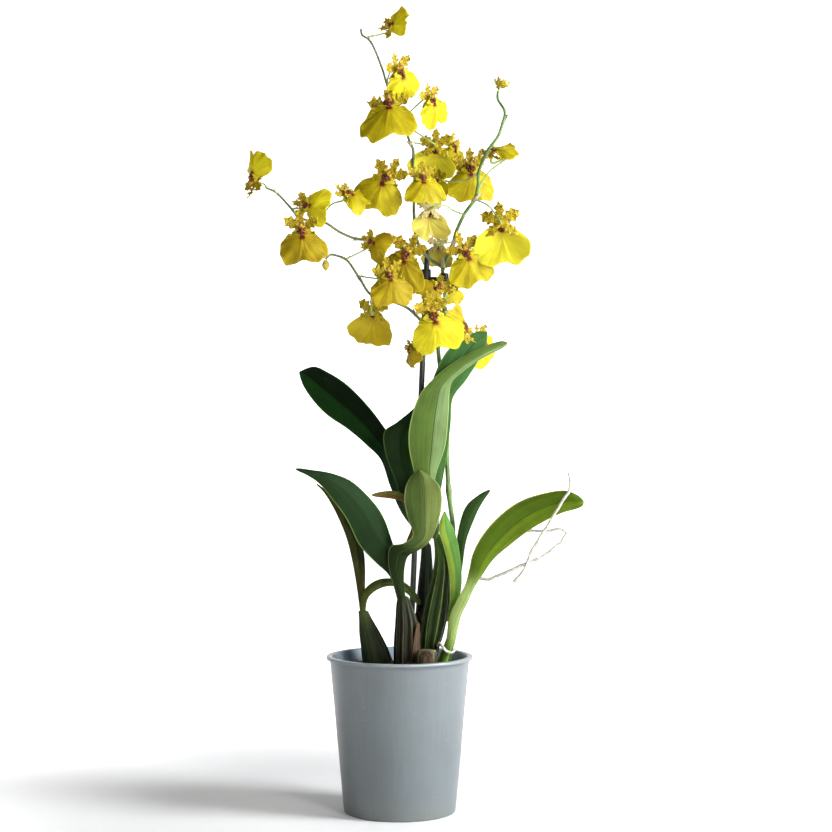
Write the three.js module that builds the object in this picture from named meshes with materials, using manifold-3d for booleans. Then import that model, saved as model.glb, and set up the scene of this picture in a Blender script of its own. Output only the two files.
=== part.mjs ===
// Potted dancing-lady orchid in a plain tapered pot. Millimetres, +Z up, the plant's front faces -Y.
// The origin is the centre of the pot's flat underside.
import * as THREE from "three";
import { mergeVertices } from "three/addons/utils/BufferGeometryUtils.js";
import Module from "manifold-3d";

const wasm = await Module();
wasm.setup();

// Clearance between pieces that touch, and between flowers that press together.
const GAP = 0.3;
const PETAL_GAP = 0.6;

// Pot.
const POT_HEIGHT = 140;
const POT_BASE_RADIUS = 50;
const POT_TOP_RADIUS = 63;
const POT_WALL = 2.2;
const POT_FLOOR = 3;
const RIM_OVERHANG = 2.8;
const RIM_DEPTH = 3.2;
const POT_SIDES = 44;

// Growing medium: its surface lies this far below the rim, and is this uneven.
const HEADSPACE = 15;
const MEDIUM_UNEVENNESS = 0.9;

// Plant.
const PLANT_SCALE = 1;
// The flower spray opens out from front to back by this factor, growing between these heights.
const SPRAY_SPREAD = 1.9;
const SPRAY_FROM = 425;
const SPRAY_FULL = 490;
const FLOWER_SCALE = 1;
const BULB_SCALE = 1;
const LEAF_THICKNESS = 1.3;
const PETAL_THICKNESS = 1.3;
const SPIKE_BASE_RADIUS = 2.3;
const SPIKE_TIP_RADIUS = 1.1;
const BRANCH_BASE_RADIUS = 1.5;
const BRANCH_TIP_RADIUS = 1.0;
const STALK_RADIUS = 0.8;
const OVARY_RADIUS = 1.25;
const ROOT_RADIUS = 1.2;

// Support.
const STAKE_RADIUS = 2.6;
const CLIP_WALL = 1.7;
const CLIP_HEIGHT = 20;
const CLIP_MIDDLE = 478;

// The heights in the tables below are measured with the medium's surface at this level.
const TABLE_SURFACE = 125;

const mediumTop = POT_HEIGHT - HEADSPACE;

function place(point) {
  const [x, y, z] = point;
  const spread = 1 + (SPRAY_SPREAD - 1) * THREE.MathUtils.smoothstep(z, SPRAY_FROM, SPRAY_FULL);
  return new THREE.Vector3(
    x * PLANT_SCALE,
    y * spread * PLANT_SCALE,
    (z - TABLE_SURFACE) * PLANT_SCALE + mediumTop,
  );
}

// ---------------------------------------------------------------- tables

// Pseudobulbs: each row is x, y, z, half width, half depth, from the foot to the neck.
const BULBS = {
  left_bulb: [
    [-18, -2, 118, 14.5, 11], [-19, -2, 130, 14.3, 11.5], [-22.5, -3, 146, 12.6, 10.5],
    [-27.5, -3, 162, 9, 8], [-31, -4, 174, 5.6, 5], [-33, -4, 181, 4.2, 3.8],
  ],
  centre_bulb: [
    [7, -16, 118, 10.5, 9], [6, -16, 134, 11.6, 10], [6, -16, 154, 11.4, 10],
    [6, -16, 172, 10, 9], [4, -16, 187, 7, 6.2], [3, -16, 195, 4.6, 4],
  ],
  tall_bulb: [
    [26, -4, 118, 7.4, 7], [26, -4, 134, 7.6, 7.2], [26.8, -4, 147, 8.6, 8], [28.8, -4, 160, 10.6, 9.6],
    [31, -3, 174, 11.4, 10], [33.4, -3, 188, 11, 9.6], [35.6, -2.5, 202, 9.2, 8.4], [37.2, -2, 216, 7.4, 7],
    [37, -2, 229, 5.6, 5.4], [35, -2, 241, 4.2, 4], [32.4, -2, 251, 3.4, 3.2],
  ],
  back_bulb: [
    [22, 19, 118, 10, 8.5], [22, 20, 145, 10.4, 9], [23, 20, 182, 8.2, 7.6],
    [24, 20, 214, 6.2, 5.8], [24, 20, 241, 4.2, 4],
  ],
  new_shoot: [
    [37, -20, 118, 6.4, 5.4], [39, -20, 135, 6.2, 5.4], [43, -19, 148, 5, 4.8], [46, -17, 158, 4, 3.8],
  ],
  old_stub: [
    [24, -31, 118, 9, 5], [24, -31, 132, 10, 5.6], [24, -30, 144, 9.6, 5.4], [24, -30, 149, 7.6, 4.2],
  ],
};

// Leaves: each row is one edge x, y, z and the other edge x, y, z, from the base to the tip.
// mid is where the midrib lies across the blade, and fold is how far it stands off the two edges.
const LEAVES = {
  upper_left_leaf: {
    mid: 0.5, fold: 3.2, colour: 0x24391c,
    rows: [
      [21, 22, 237, 26, 22, 236], [9, 23, 275, 2, 22, 266], [2, 26, 306, -9, 24, 291],
      [-3, 29, 326, -18, 25, 316], [-12, 32, 341, -30, 26, 328], [-29, 38, 364, -48, 31, 343],
      [-49, 44, 384, -67, 37, 356], [-66, 48, 395, -80, 43, 369], [-80, 51, 401, -89, 48, 382],
      [-93, 54, 397, -94.5, 54, 395],
    ],
  },
  inner_left_leaf: {
    mid: 0.5, fold: 2.2, colour: 0x2c4a24,
    rows: [
      [21, 18, 236, 26, 18, 236], [12, 7, 258, 19, 8, 256], [3, 4, 275, 17, 6, 269],
      [-3, 3, 295, 16, 6, 288], [-13, 2, 322, 15, 6, 314], [-14, 2, 341, 16, 6, 333],
      [-3, 2, 349, 18, 5, 342], [7, 2, 357, 20, 4, 352], [17, 2, 366, 19, 3, 364],
    ],
  },
  tall_front_leaf: {
    mid: 0.6, fold: 3.4, colour: 0x6f9a58,
    rows: [
      [29, -4, 245, 35, -4, 245], [22, -8, 275, 35, -4, 275], [15, -11, 297, 32, -5, 297],
      [8, -13, 329, 41, -5, 329], [10, -14, 351, 44, -4, 358], [19, -13, 376, 47, -2, 385],
      [33, -9, 391, 57, 1, 395], [53, -1, 406, 71, 8, 405], [76, 11, 418, 84, 15, 412],
      [96, 24, 425, 98, 25, 419],
    ],
  },
  tall_back_leaf: {
    mid: 0.5, fold: 2.6, colour: 0x2f5a34,
    rows: [
      [29, 0, 245, 35, 0, 245], [24, 3, 279, 36, 5, 279], [24, 4, 315, 42, 7, 315],
      [25, 4, 351, 46, 9, 347], [27, 5, 374, 48, 11, 371], [32, 7, 394, 60, 15, 387],
      [42, 11, 413, 71, 21, 404], [57, 18, 426, 77, 27, 417], [71, 25, 432, 80, 31, 425],
      [79, 32, 432, 80, 33, 431],
    ],
  },
  twisted_leaf: {
    mid: 0.5, fold: 2.0, colour: 0x93a866,
    rows: [
      [0, -18, 189, 6, -18, 189], [-8, -19, 214, 4, -17, 210], [-10, -22, 229, 5, -18, 223],
      [-7, -26, 240, 8, -20, 230], [3, -28, 243, 18, -21, 236], [12, -26, 249, 28, -18, 246],
      [7, -22, 266, 36, -18, 266], [4, -20, 281, 38, -18, 280], [6, -19, 294, 36, -18, 292],
      [11, -19, 302, 29, -18, 300], [17, -19, 307, 19, -19, 307],
    ],
  },
  lower_left_leaf: {
    mid: 0.48, fold: -2.8, colour: 0x3f5f2c,
    rows: [
      [6, -15, 188, -1, -15, 188], [-1, -10, 223, -9, -13, 212], [-7, -10, 245, -21, -17, 224],
      [-15, -14, 266, -35, -23, 240], [-27, -21, 283, -46, -31, 262], [-43, -30, 298, -56, -39, 278],
      [-61, -40, 305, -68, -46, 294], [-77, -49, 308, -80, -52, 303], [-90, -56, 310, -90, -56, 308],
    ],
  },
  narrow_left_leaf: {
    mid: 0.5, fold: 1.8, colour: 0x5b6238,
    rows: [
      [-35, -4, 175, -30, -4, 175], [-38, -3, 198, -31, -3, 198], [-42, 0, 221, -31, 0, 219],
      [-47, 4, 242, -33, 5, 235], [-55, 10, 261, -43, 11, 255], [-63, 17, 277, -50, 18, 268],
      [-71, 22, 287, -63, 22, 283], [-77, 27, 293, -75, 27, 292],
    ],
  },
  small_pale_leaf: {
    mid: 0.45, fold: 1.8, colour: 0xa9c487,
    rows: [
      [43, -15, 152, 48, -15, 152], [44, -13, 176, 50, -11, 176], [45, -12, 198, 55, -7, 200],
      [44, -12, 218, 55, -7, 221],
      [39, -12, 239, 53, -8, 238], [35, -12, 254, 49, -8, 252], [37, -12, 264, 44, -10, 263],
      [40, -12, 270, 41, -12, 270],
    ],
  },
  lance_leaf: {
    mid: 0.5, fold: 1.4, colour: 0x7d9b54,
    rows: [
      [39, 1, 170, 45, 2, 170], [49, 3, 203, 54, 5, 203], [51, 4, 225, 57, 7, 223],
      [52, 6, 249, 61, 10, 245], [60, 12, 273, 69, 16, 265], [71, 19, 283, 77, 21, 279],
      [81, 25, 288, 83, 25, 287],
    ],
  },
  broad_right_leaf: {
    mid: 0.5, fold: 2.8, colour: 0x54802a,
    rows: [
      [41, -19, 152, 49, -19, 151], [45, -20, 178, 55, -15, 177], [51, -21, 192, 61, -16, 189],
      [58, -22, 205, 67, -16, 203], [62, -24, 219, 75, -18, 216], [65, -27, 233, 84, -20, 228],
      [74, -31, 251, 99, -24, 241], [89, -35, 268, 115, -29, 254], [106, -39, 280, 131, -34, 264],
      [128, -43, 287.5, 144, -39, 270], [146, -46, 290, 154, -43, 273], [156, -47, 286, 160, -46, 276],
      [160.5, -47, 282, 161.8, -47, 279],
    ],
  },
  drying_leaf: {
    mid: 0.5, fold: 0.9, colour: 0x7a6a3e,
    rows: [
      [1, -12.6, 188, 5, -12.6, 188], [-3, -8, 210, 1, -8, 210], [0, -7, 228, 5, -7, 228],
      [6, -6, 243, 11, -6, 243], [11, -5, 257, 17, -4, 256], [11, -5, 270, 18, -4, 273],
      [3, -6, 278, 6, -5, 284], [-8, -8, 281, -7, -7, 288], [-25, -14, 283, -25, -13, 286],
    ],
  },
  arching_leaf: {
    mid: 0.5, fold: 1.2, colour: 0x4d5a30,
    rows: [
      [-35, -6.6, 175, -31, -6.6, 175], [-33, -6, 197, -28, -7, 192], [-22, -2, 207, -18, -3, 200],
      [-8, 1, 209, -7, 0, 202], [3, 2, 206, 1, 1, 199], [13, 1, 198, 10, 0, 192],
      [20, -1, 187, 17, -1, 184],
    ],
  },
};

// Stems: the points each one passes through, from where it starts.
const STEMS = {
  flower_spike: [
    [44, 14, 112], [44, 14, 130], [47, 15, 190], [49, 15, 226], [48, 15, 257], [45, 15, 281],
    [43, 16, 311], [43, 18, 347], [40, 20, 379], [36, 20, 404], [35, 18, 418], [37, 13, 437],
    [41, 8, 457], [40, 5, 473], [39, 4, 489], [44, 3, 500], [48, 2, 510], [51, 0, 521],
    [58, -2, 536], [67, -4, 549], [70, -5, 559], [71, -6, 573], [79, -8, 592], [87, -8, 603],
    [91, -7, 613], [94, -5, 627], [88, -3, 639], [88, -2, 645],
  ],
  top_branch: [
    [39, 4, 489], [31, 4, 494], [22, 3, 502], [16, 4, 513], [13, 6, 536], [13, 7, 554],
    [14, 7, 570], [12, 6, 581], [12, 5, 596], [9, 5, 603], [4, 6, 619], [0, 7, 626],
    [-7, 8, 644], [-12, 8, 657], [-16, 7, 670], [-27, 4, 694], [-34, 3, 699], [-35, 2, 704],
  ],
  left_branch: [
    [22, 3, 502], [12, 2, 507], [4, 1, 511], [-8, 0, 516], [-21, 0, 514], [-38, -1, 514],
    [-52, -3, 519], [-69, -5, 529], [-83, -6, 530], [-91, -6, 534], [-100, -6, 544],
    [-111, -7, 555], [-118, -8, 558],
  ],
  lower_branch: [
    [35, 17, 423], [27, 9, 432], [20, 2, 440], [7, -2, 452], [-8, -5, 458], [-25, -6, 463],
    [-37, -6, 480], [-48, -6, 495], [-57, -6, 498.5], [-62, -6, 499], [-66, -6, 495],
  ],
};

// Bare stalk on the spike whose flower has dropped, and the bud at the lower branch's end.
const BARE_STALK = [[40, 4, 477], [50, 2, 480], [62, 0, 480], [73, -1, 487], [80, -1, 500]];
const END_BUD = { at: [-66, -6, 489], length: 9, radius: 3.4 };

const ROOTS = {
  curled_root: [
    [44, -16, 146], [46.5, -10, 158], [50, -8, 180], [56, -8, 194], [62, -8, 204], [69, -9, 209],
    [79, -12, 209], [89, -17, 214], [98, -21, 218], [107, -25, 222], [114, -28, 225.5],
    [121, -30, 228], [128, -31, 231.5], [135, -32, 237], [139, -32, 240], [143.5, -33, 245],
    [147, -33, 250], [145.5, -32, 254.5], [142.5, -31, 255.5], [138, -29, 254.5], [130, -25, 253],
    [121, -21, 253], [113, -17, 252.5], [106, -14, 253.5],
  ],
  long_root: [
    [101.5, -24, 208], [107.5, -27, 215], [113.3, -30, 225], [116, -32, 234], [121, -36, 244],
    [128, -41, 255], [135.5, -46, 268.5], [142, -50, 280], [148, -53, 290], [149, -53, 299], [148, -52, 306],
  ],
  short_root: [
    [34, -10, 150], [36, -20, 153], [38, -27, 151], [42, -28, 147], [46, -28, 146], [50, -27, 149],
  ],
};

// Flowers: crest position, lip width, direction faced (turn to the right, nod upward), roll of the
// lip to the right, droop of the lip's sides, curl of its end, and where its stalk leaves the stem.
const FLOWERS = {
  flower_01: { at: [-8, -3, 704], size: 27, turn: -45, nod: 10, roll: 100, droop: 10, curl: 10,
    stem: "top_branch", station: 15.4 },
  flower_02: { at: [-2, -4, 665], size: 38, turn: 35, nod: 0, roll: 28, droop: 20, curl: 15,
    stem: "top_branch", station: 13 },
  flower_03: { at: [-9, -11, 631], size: 50, turn: -8, nod: 46, roll: 8, droop: 22, curl: 25,
    stem: "top_branch", station: 11.6 },
  flower_04: { at: [27, -3, 640], size: 33, turn: 34, nod: 0, roll: 25, droop: 20, curl: 10,
    stem: "top_branch", station: 10.6 },
  flower_05: { at: [32, 6, 600], size: 42, turn: 172, nod: 0, roll: 4, droop: 14, curl: 12,
    stem: "top_branch", station: 10 },
  flower_06: { at: [48, 15, 602], size: 30, turn: 40, nod: 10, roll: 0, droop: 20, curl: 10,
    stem: "top_branch", station: 9 },
  flower_07: { at: [64, 13, 583], size: 43, turn: 6, nod: 4, roll: 2, droop: 16, curl: 12,
    stem: "flower_spike", station: 22.4, via: [[86, 8, 597], [76, 22, 592]] },
  flower_08: { at: [82, -4, 589], size: 31, turn: -12, nod: 54, roll: 112, droop: 10, curl: 10,
    stem: "flower_spike", station: 19.7, via: [[80, -1, 574], [90, 0, 582], [98, -1, 588]] },
  flower_09: { at: [90, -2, 651], size: 22, turn: 150, nod: 62, roll: 0, droop: 20, curl: 40,
    stem: "flower_spike", station: 27 },
  flower_10: { at: [-129, -9, 563], size: 36, turn: -50, nod: 4, roll: 172, droop: 26, curl: -10,
    stem: "left_branch", station: 12 },
  flower_11: { at: [-84, -8, 543], size: 32, turn: -30, nod: 0, roll: 80, droop: 14, curl: 10,
    stem: "left_branch", station: 9.6 },
  flower_12: { at: [-48, -9, 553], size: 30, turn: 20, nod: 38, roll: 50, droop: 14, curl: 10,
    stem: "left_branch", station: 7, via: [[-66, -5, 538], [-60, -4, 545]] },
  flower_13: { at: [-86, -15, 521], size: 42, turn: -3, nod: 4, roll: 5, droop: 16, curl: 10,
    stem: "left_branch", station: 8.4 },
  flower_14: { at: [-26, -10, 510], size: 27, turn: -28, nod: 12, roll: 62, droop: 14, curl: 8,
    stem: "lower_branch", station: 7, via: [[-38, -6, 500]] },
  flower_15: { at: [-10, -7, 569], size: 44, turn: -6, nod: 8, roll: -30, droop: 18, curl: 14,
    stem: "top_branch", station: 6.5 },
  flower_16: { at: [20, -8, 568], size: 36, turn: 10, nod: 24, roll: 4, droop: 16, curl: 14,
    stem: "top_branch", station: 6 },
  flower_17: { at: [36, 5, 569], size: 26, turn: -52, nod: 8, roll: 3, droop: 18, curl: 10,
    stem: "flower_spike", station: 21, via: [[61, -2, 567], [50, 1, 566]] },
  flower_18: { at: [27, -4, 540], size: 36, turn: -160, nod: -6, roll: 0, droop: 16, curl: 12,
    stem: "flower_spike", station: 18, via: [[50, -4, 538], [40, -7, 543]] },
  flower_19: { at: [8, -14, 500], size: 46, turn: -12, nod: 8, roll: -22, droop: 18, curl: 16,
    stem: "left_branch", station: 2.2 },
  flower_20: { at: [-10, -19, 480], size: 38, turn: 8, nod: 20, roll: 12, droop: 18, curl: 14,
    stem: "lower_branch", station: 6, via: [[-26, -10, 478]] },
  flower_21: { at: [-24, 1, 449], size: 40, turn: 174, nod: 18, roll: 6, droop: 14, curl: 12,
    stem: "lower_branch", station: 5 },
  flower_22: { at: [29, -18, 447], size: 46, turn: 5, nod: 2, roll: 12, droop: 18, curl: 14,
    stem: "lower_branch", station: 1.6 },
  flower_23: { at: [36, -9, 470], size: 30, turn: 18, nod: 14, roll: -64, droop: 12, curl: 10,
    stem: "flower_spike", station: 12.6 },
  flower_24: { at: [57, -4, 432], size: 34, turn: 62, nod: 8, roll: -146, droop: 20, curl: 10,
    stem: "flower_spike", station: 12 },
  flower_25: { at: [73, 46, 427], size: 36, turn: 46, nod: 0, roll: 40, droop: 20, curl: 12,
    stem: "flower_spike", station: 10.6, via: [[50, 36, 428]] },
  flower_26: { at: [10, -9, 416], size: 22, turn: -58, nod: 0, roll: 20, droop: 16, curl: 10,
    stem: "lower_branch", station: 1, via: [[17, -2, 425]] },
  flower_27: { at: [90, -10, 527], size: 50, turn: 176, nod: 2, roll: -6, droop: 16, curl: 12,
    stem: "flower_spike", station: 19, via: [[79, -10, 542]] },
  flower_28: { at: [57, -9, 502], size: 42, turn: 12, nod: 6, roll: 26, droop: 18, curl: 12,
    stem: "flower_spike", station: 15.4 },
  flower_29: { at: [35, 15, 512], size: 28, turn: 170, nod: 8, roll: 0, droop: 14, curl: 10,
    stem: "flower_spike", station: 16, via: [[50, 12, 514]] },
  flower_30: { at: [49, 14, 474], size: 22, turn: 50, nod: 10, roll: 10, droop: 16, curl: 10,
    stem: "flower_spike", station: 12.8 },
};

// ---------------------------------------------------------------- solids

// The closed solid inside a geometry whose faces point outward.
function solidOf(geometry) {
  geometry.deleteAttribute("normal");
  geometry.deleteAttribute("uv");
  const merged = mergeVertices(geometry, 1e-5);
  const vertProperties = new Float32Array(merged.getAttribute("position").array);
  const triVerts = new Uint32Array(merged.getIndex().array);
  return new wasm.Manifold(new wasm.Mesh({ numProp: 3, vertProperties, triVerts }));
}

function solid(points, faces) {
  let volume = 0;
  const cross = new THREE.Vector3();
  for (const [a, b, c] of faces) {
    volume += cross.crossVectors(points[b], points[c]).dot(points[a]);
  }
  const geometry = new THREE.BufferGeometry().setFromPoints(points);
  geometry.setIndex(faces.flatMap(([a, b, c]) => (volume > 0 ? [a, b, c] : [a, c, b])));
  return solidOf(geometry);
}

// A closed solid through rings that all have the same number of points.
function loft(rings) {
  const sides = rings[0].length;
  const points = rings.flat();
  const faces = [];
  for (let r = 0; r < rings.length - 1; r += 1) {
    for (let s = 0; s < sides; s += 1) {
      const a = r * sides + s;
      const b = r * sides + ((s + 1) % sides);
      faces.push([a, b, a + sides], [b, b + sides, a + sides]);
    }
  }
  const foot = points.length;
  const top = foot + 1;
  for (const ring of [rings[0], rings[rings.length - 1]]) {
    const centre = new THREE.Vector3();
    ring.forEach((p) => centre.addScaledVector(p, 1 / sides));
    points.push(centre);
  }
  const last = (rings.length - 1) * sides;
  for (let s = 0; s < sides; s += 1) {
    const next = (s + 1) % sides;
    faces.push([next, s, foot], [last + s, last + next, top]);
  }
  return solid(points, faces);
}

function join(solids) {
  return solids.reduce((whole, one) => whole.add(one));
}

function tube(points, radii, sides, extra = 0) {
  const count = points.length;
  const rings = [];
  let across = null;
  for (let i = 0; i < count; i += 1) {
    const along = points[Math.min(i + 1, count - 1)].clone()
      .sub(points[Math.max(i - 1, 0)])
      .normalize();
    if (!across) {
      across = Math.abs(along.x) < 0.8 ? new THREE.Vector3(1, 0, 0) : new THREE.Vector3(0, 1, 0);
    }
    across.addScaledVector(along, -across.dot(along)).normalize();
    const up = new THREE.Vector3().crossVectors(along, across);
    const end = (i === 0 ? -extra : 0) + (i === count - 1 ? extra : 0);
    const centre = points[i].clone().addScaledVector(along, end);
    const ring = [];
    for (let s = 0; s < sides; s += 1) {
      const angle = (2 * Math.PI * s) / sides;
      ring.push(centre.clone()
        .addScaledVector(across, (radii[i] + extra) * Math.cos(angle))
        .addScaledVector(up, (radii[i] + extra) * Math.sin(angle)));
    }
    rings.push(ring);
  }
  return loft(rings);
}

// A thin folded blade through rows of { left, right }, with a midrib.
function blade(rows, thickness, mid, fold, extra = 0) {
  const rings = rows.map(({ left, right }, i) => {
    const before = rows[Math.max(i - 1, 0)];
    const after = rows[Math.min(i + 1, rows.length - 1)];
    const along = after.left.clone().add(after.right).sub(before.left).sub(before.right).normalize();
    const across = right.clone().sub(left);
    const width = across.length();
    across.normalize();
    const out = new THREE.Vector3().crossVectors(across, along).normalize();
    const end = (i === 0 ? -extra : 0) + (i === rows.length - 1 ? extra : 0);
    const half = thickness / 2 + extra;
    const edge = thickness * 0.32 + extra;
    const rise = fold * Math.min(1, width / 14);
    const rib = left.clone().addScaledVector(across, width * mid).addScaledVector(out, rise);
    const l = left.clone().addScaledVector(across, -extra);
    const r = right.clone().addScaledVector(across, extra);
    return [
      l.clone().addScaledVector(out, edge), rib.clone().addScaledVector(out, half),
      r.clone().addScaledVector(out, edge), r.clone().addScaledVector(out, -edge),
      rib.clone().addScaledVector(out, -half), l.clone().addScaledVector(out, -edge),
    ].map((p) => p.addScaledVector(along, end));
  });
  return loft(rings);
}

function smooth(points, count) {
  return new THREE.CatmullRomCurve3(points, false, "centripetal").getPoints(count);
}

// ---------------------------------------------------------------- pieces

const BULB_SIDES = 12;

function bulb(name, extra) {
  const rings = BULBS[name].map(([x, y, z, rx, ry], i, all) => {
    const centre = place([x, y, z]);
    const end = (i === 0 ? -extra : 0) + (i === all.length - 1 ? extra : 0);
    const ring = [];
    for (let s = 0; s < BULB_SIDES; s += 1) {
      const angle = (2 * Math.PI * s) / BULB_SIDES;
      const rib = s % 2 ? 0.965 : 1;
      ring.push(new THREE.Vector3(
        centre.x + (rx * BULB_SCALE * rib + extra) * Math.cos(angle),
        centre.y + (ry * BULB_SCALE * rib + extra) * Math.sin(angle),
        centre.z + end,
      ));
    }
    return ring;
  });
  return loft(rings);
}

function leaf(name, extra) {
  const { rows, mid, fold } = LEAVES[name];
  const count = rows.length;
  const lefts = smooth(rows.map((row) => place(row.slice(0, 3))), count);
  const rights = smooth(rows.map((row) => place(row.slice(3))), count);
  return blade(lefts.map((left, i) => ({ left, right: rights[i] })), LEAF_THICKNESS, mid, fold, extra);
}

function facing({ turn, nod, roll }) {
  const t = THREE.MathUtils.degToRad(turn);
  const n = THREE.MathUtils.degToRad(nod);
  const out = new THREE.Vector3(Math.sin(t) * Math.cos(n), -Math.cos(t) * Math.cos(n), Math.sin(n));
  const up = new THREE.Vector3(0, 0, 1).addScaledVector(out, -out.z).normalize();
  up.applyAxisAngle(out, THREE.MathUtils.degToRad(roll));
  const right = new THREE.Vector3().crossVectors(up, out);
  return { out, up, right };
}

// The stalk of a flower, from its stem to the back of the flower.
function stalkPoints(flower) {
  const stem = stemCurve(flower.stem);
  const start = stem.getPoint(flower.station / (STEMS[flower.stem].length - 1));
  const { out } = facing(flower);
  const heart = place(flower.at);
  const size = flower.size * FLOWER_SCALE;
  const back = heart.clone().addScaledVector(out, -0.06 * size);
  const behind = heart.clone().addScaledVector(out, -0.28 * size);
  const via = (flower.via || []).map(place);
  const points = [start, ...via, behind, back];
  return smooth(points, via.length ? 7 : 5);
}

function stemCurve(name) {
  return new THREE.CatmullRomCurve3(STEMS[name].map(place), false, "centripetal");
}

function stalk(flower, extra) {
  const points = stalkPoints(flower);
  const radii = points.map((p, i) => {
    const share = i / (points.length - 1);
    return share > 0.7 ? OVARY_RADIUS : STALK_RADIUS;
  });
  return tube(points, radii, 4, extra);
}

function stem(name, extra) {
  const main = name === "flower_spike";
  const base = main ? SPIKE_BASE_RADIUS : BRANCH_BASE_RADIUS;
  const tip = main ? SPIKE_TIP_RADIUS : BRANCH_TIP_RADIUS;
  const points = stemCurve(name).getPoints(STEMS[name].length + 3);
  const radii = points.map((p, i) => base + ((tip - base) * i) / (points.length - 1));
  const pieces = [tube(points, radii, main ? 7 : 5, extra)];
  for (const flower of Object.values(FLOWERS)) {
    if (flower.stem === name) {
      pieces.push(stalk(flower, extra));
    }
  }
  if (main) {
    const bare = smooth(BARE_STALK.map(place), 5);
    pieces.push(tube(bare, bare.map(() => STALK_RADIUS), 4, extra));
  }
  if (name === "lower_branch") {
    const { at, length, radius } = END_BUD;
    const [x, y, z] = at;
    const bud = [0.56, 0.3, 0, -0.3, -0.5].map((share) => place([x, y, z + share * length]));
    const swell = [0.25, 0.75, 1, 0.75, 0.3].map((share) => share * radius);
    pieces.push(tube(bud, swell, 6, extra));
  }
  return join(pieces);
}

const LIP_ROWS = [
  // down, half width, as shares of the lip's width
  [0.00, 0.11], [0.18, 0.14], [0.36, 0.39], [0.56, 0.49], [0.72, 0.45], [0.82, 0.26],
];
const LIP_LENGTH = LIP_ROWS[LIP_ROWS.length - 1][0];

// Sepals and petals make one star behind the lip: angle from the top, length and half width, as
// shares of the lip's width. The star leans forward above the heart and back below it.
const STAR_ARMS = [
  [0, 0.41, 0.09], [-62, 0.42, 0.11], [-128, 0.36, 0.08], [128, 0.36, 0.08], [62, 0.42, 0.11],
];
const STAR_HEART = 0.07;
const STAR_LEAN = 0.24;

// An outline with each of its corners moved outward, so that its edges move by extra.
function widened(outline, extra) {
  const turn = THREE.ShapeUtils.isClockWise(outline) ? 1 : -1;
  return outline.map((corner, i) => {
    const before = outline[(i + outline.length - 1) % outline.length];
    const after = outline[(i + 1) % outline.length];
    const [first, second] = [[before, corner], [corner, after]].map(([from, to]) => {
      const along = to.clone().sub(from).normalize();
      return new THREE.Vector2(-along.y * turn, along.x * turn);
    });
    const spread = Math.max(1 + first.dot(second), 0.5);
    return corner.clone().add(first.add(second).multiplyScalar(extra / spread));
  });
}

function star(size, spot, extra) {
  const outline = [];
  const point = (angle, far, side) => {
    const a = THREE.MathUtils.degToRad(angle);
    outline.push(new THREE.Vector2(
      (Math.sin(-a) * far + Math.cos(a) * side) * size,
      (Math.cos(a) * far + Math.sin(a) * side) * size,
    ));
  };
  STAR_ARMS.forEach(([angle, length, half], i) => {
    const next = STAR_ARMS[(i + 1) % STAR_ARMS.length][0];
    const between = i === 2 ? 180 : (angle + next) / 2;
    point(angle, length * 0.55, -half);
    point(angle, length, -half * 0.3);
    point(angle, length, half * 0.3);
    point(angle, length * 0.55, half);
    point(between, STAR_HEART, 0);
  });
  const height = PETAL_THICKNESS + 2 * extra;
  const flat = new THREE.Shape(widened(outline, extra));
  const geometry = new THREE.ExtrudeGeometry(flat, { depth: height, bevelEnabled: false });
  const position = geometry.getAttribute("position");
  for (let i = 0; i < position.count; i += 1) {
    const [x, y, z] = [position.getX(i), position.getY(i), position.getZ(i)];
    const where = spot(x, y, z - height / 2 + STAR_LEAN * y);
    position.setXYZ(i, where.x, where.y, where.z);
  }
  return solidOf(geometry);
}

function flowerSolid(name, extra) {
  const flower = FLOWERS[name];
  const size = flower.size * FLOWER_SCALE;
  const { out, up, right } = facing(flower);
  const heart = place(flower.at);
  const spot = (x, y, z) => heart.clone()
    .addScaledVector(right, x)
    .addScaledVector(up, y)
    .addScaledVector(out, z);
  const droop = Math.tan(THREE.MathUtils.degToRad(flower.droop));
  const lip = [];
  let y = -LIP_ROWS[0][0] * size;
  let z = 0.07 * size;
  LIP_ROWS.forEach(([down, half], i) => {
    if (i > 0) {
      const step = (down - LIP_ROWS[i - 1][0]) * size;
      const lean = THREE.MathUtils.degToRad(12 - (12 + flower.curl) * (down / LIP_LENGTH) * 1.6);
      y -= step * Math.cos(lean);
      z += step * Math.sin(lean);
    }
    const w = half * size;
    lip.push({ left: spot(-w, y, z - w * droop), right: spot(w, y, z - w * droop) });
  });
  const pieces = [blade(lip, PETAL_THICKNESS, 0.5, 0.08 * size * droop * 3, extra)];
  pieces.push(star(size, spot, extra));
  const hub = [-0.05, 0.10, 0.2].map((share) => spot(0, 0, share * size));
  const swell = [0.07, 0.10, 0.04].map((share) => share * size);
  pieces.push(tube(hub, swell, 5, extra));
  return join(pieces);
}

function root(name, extra) {
  const points = smooth(ROOTS[name].map(place), ROOTS[name].length + 5);
  const radii = points.map((p, i) => ROOT_RADIUS * (1 - 0.35 * (i / (points.length - 1))));
  return tube(points, radii, 6, extra);
}

const STAKE_FOOT = [6, 14, 60];
const STAKE_TOP = [25, 8, 506];

function stake(extra) {
  const foot = place(STAKE_FOOT);
  foot.z = Math.max(foot.z, POT_FLOOR + 20);
  const top = place(STAKE_TOP);
  const points = [0, 0.03, 0.5, 0.985, 1].map((share) => foot.clone().lerp(top, share));
  const radii = [0.5, 1, 1, 1, 0.55].map((share) => share * STAKE_RADIUS);
  return tube(points, radii, 10, extra);
}

function ringAround(centre, radius, height, sides) {
  const ring = new THREE.CylinderGeometry(radius, radius, height, sides);
  ring.rotateX(Math.PI / 2);
  ring.translate(centre.x, centre.y, centre.z);
  return solidOf(ring);
}

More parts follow.
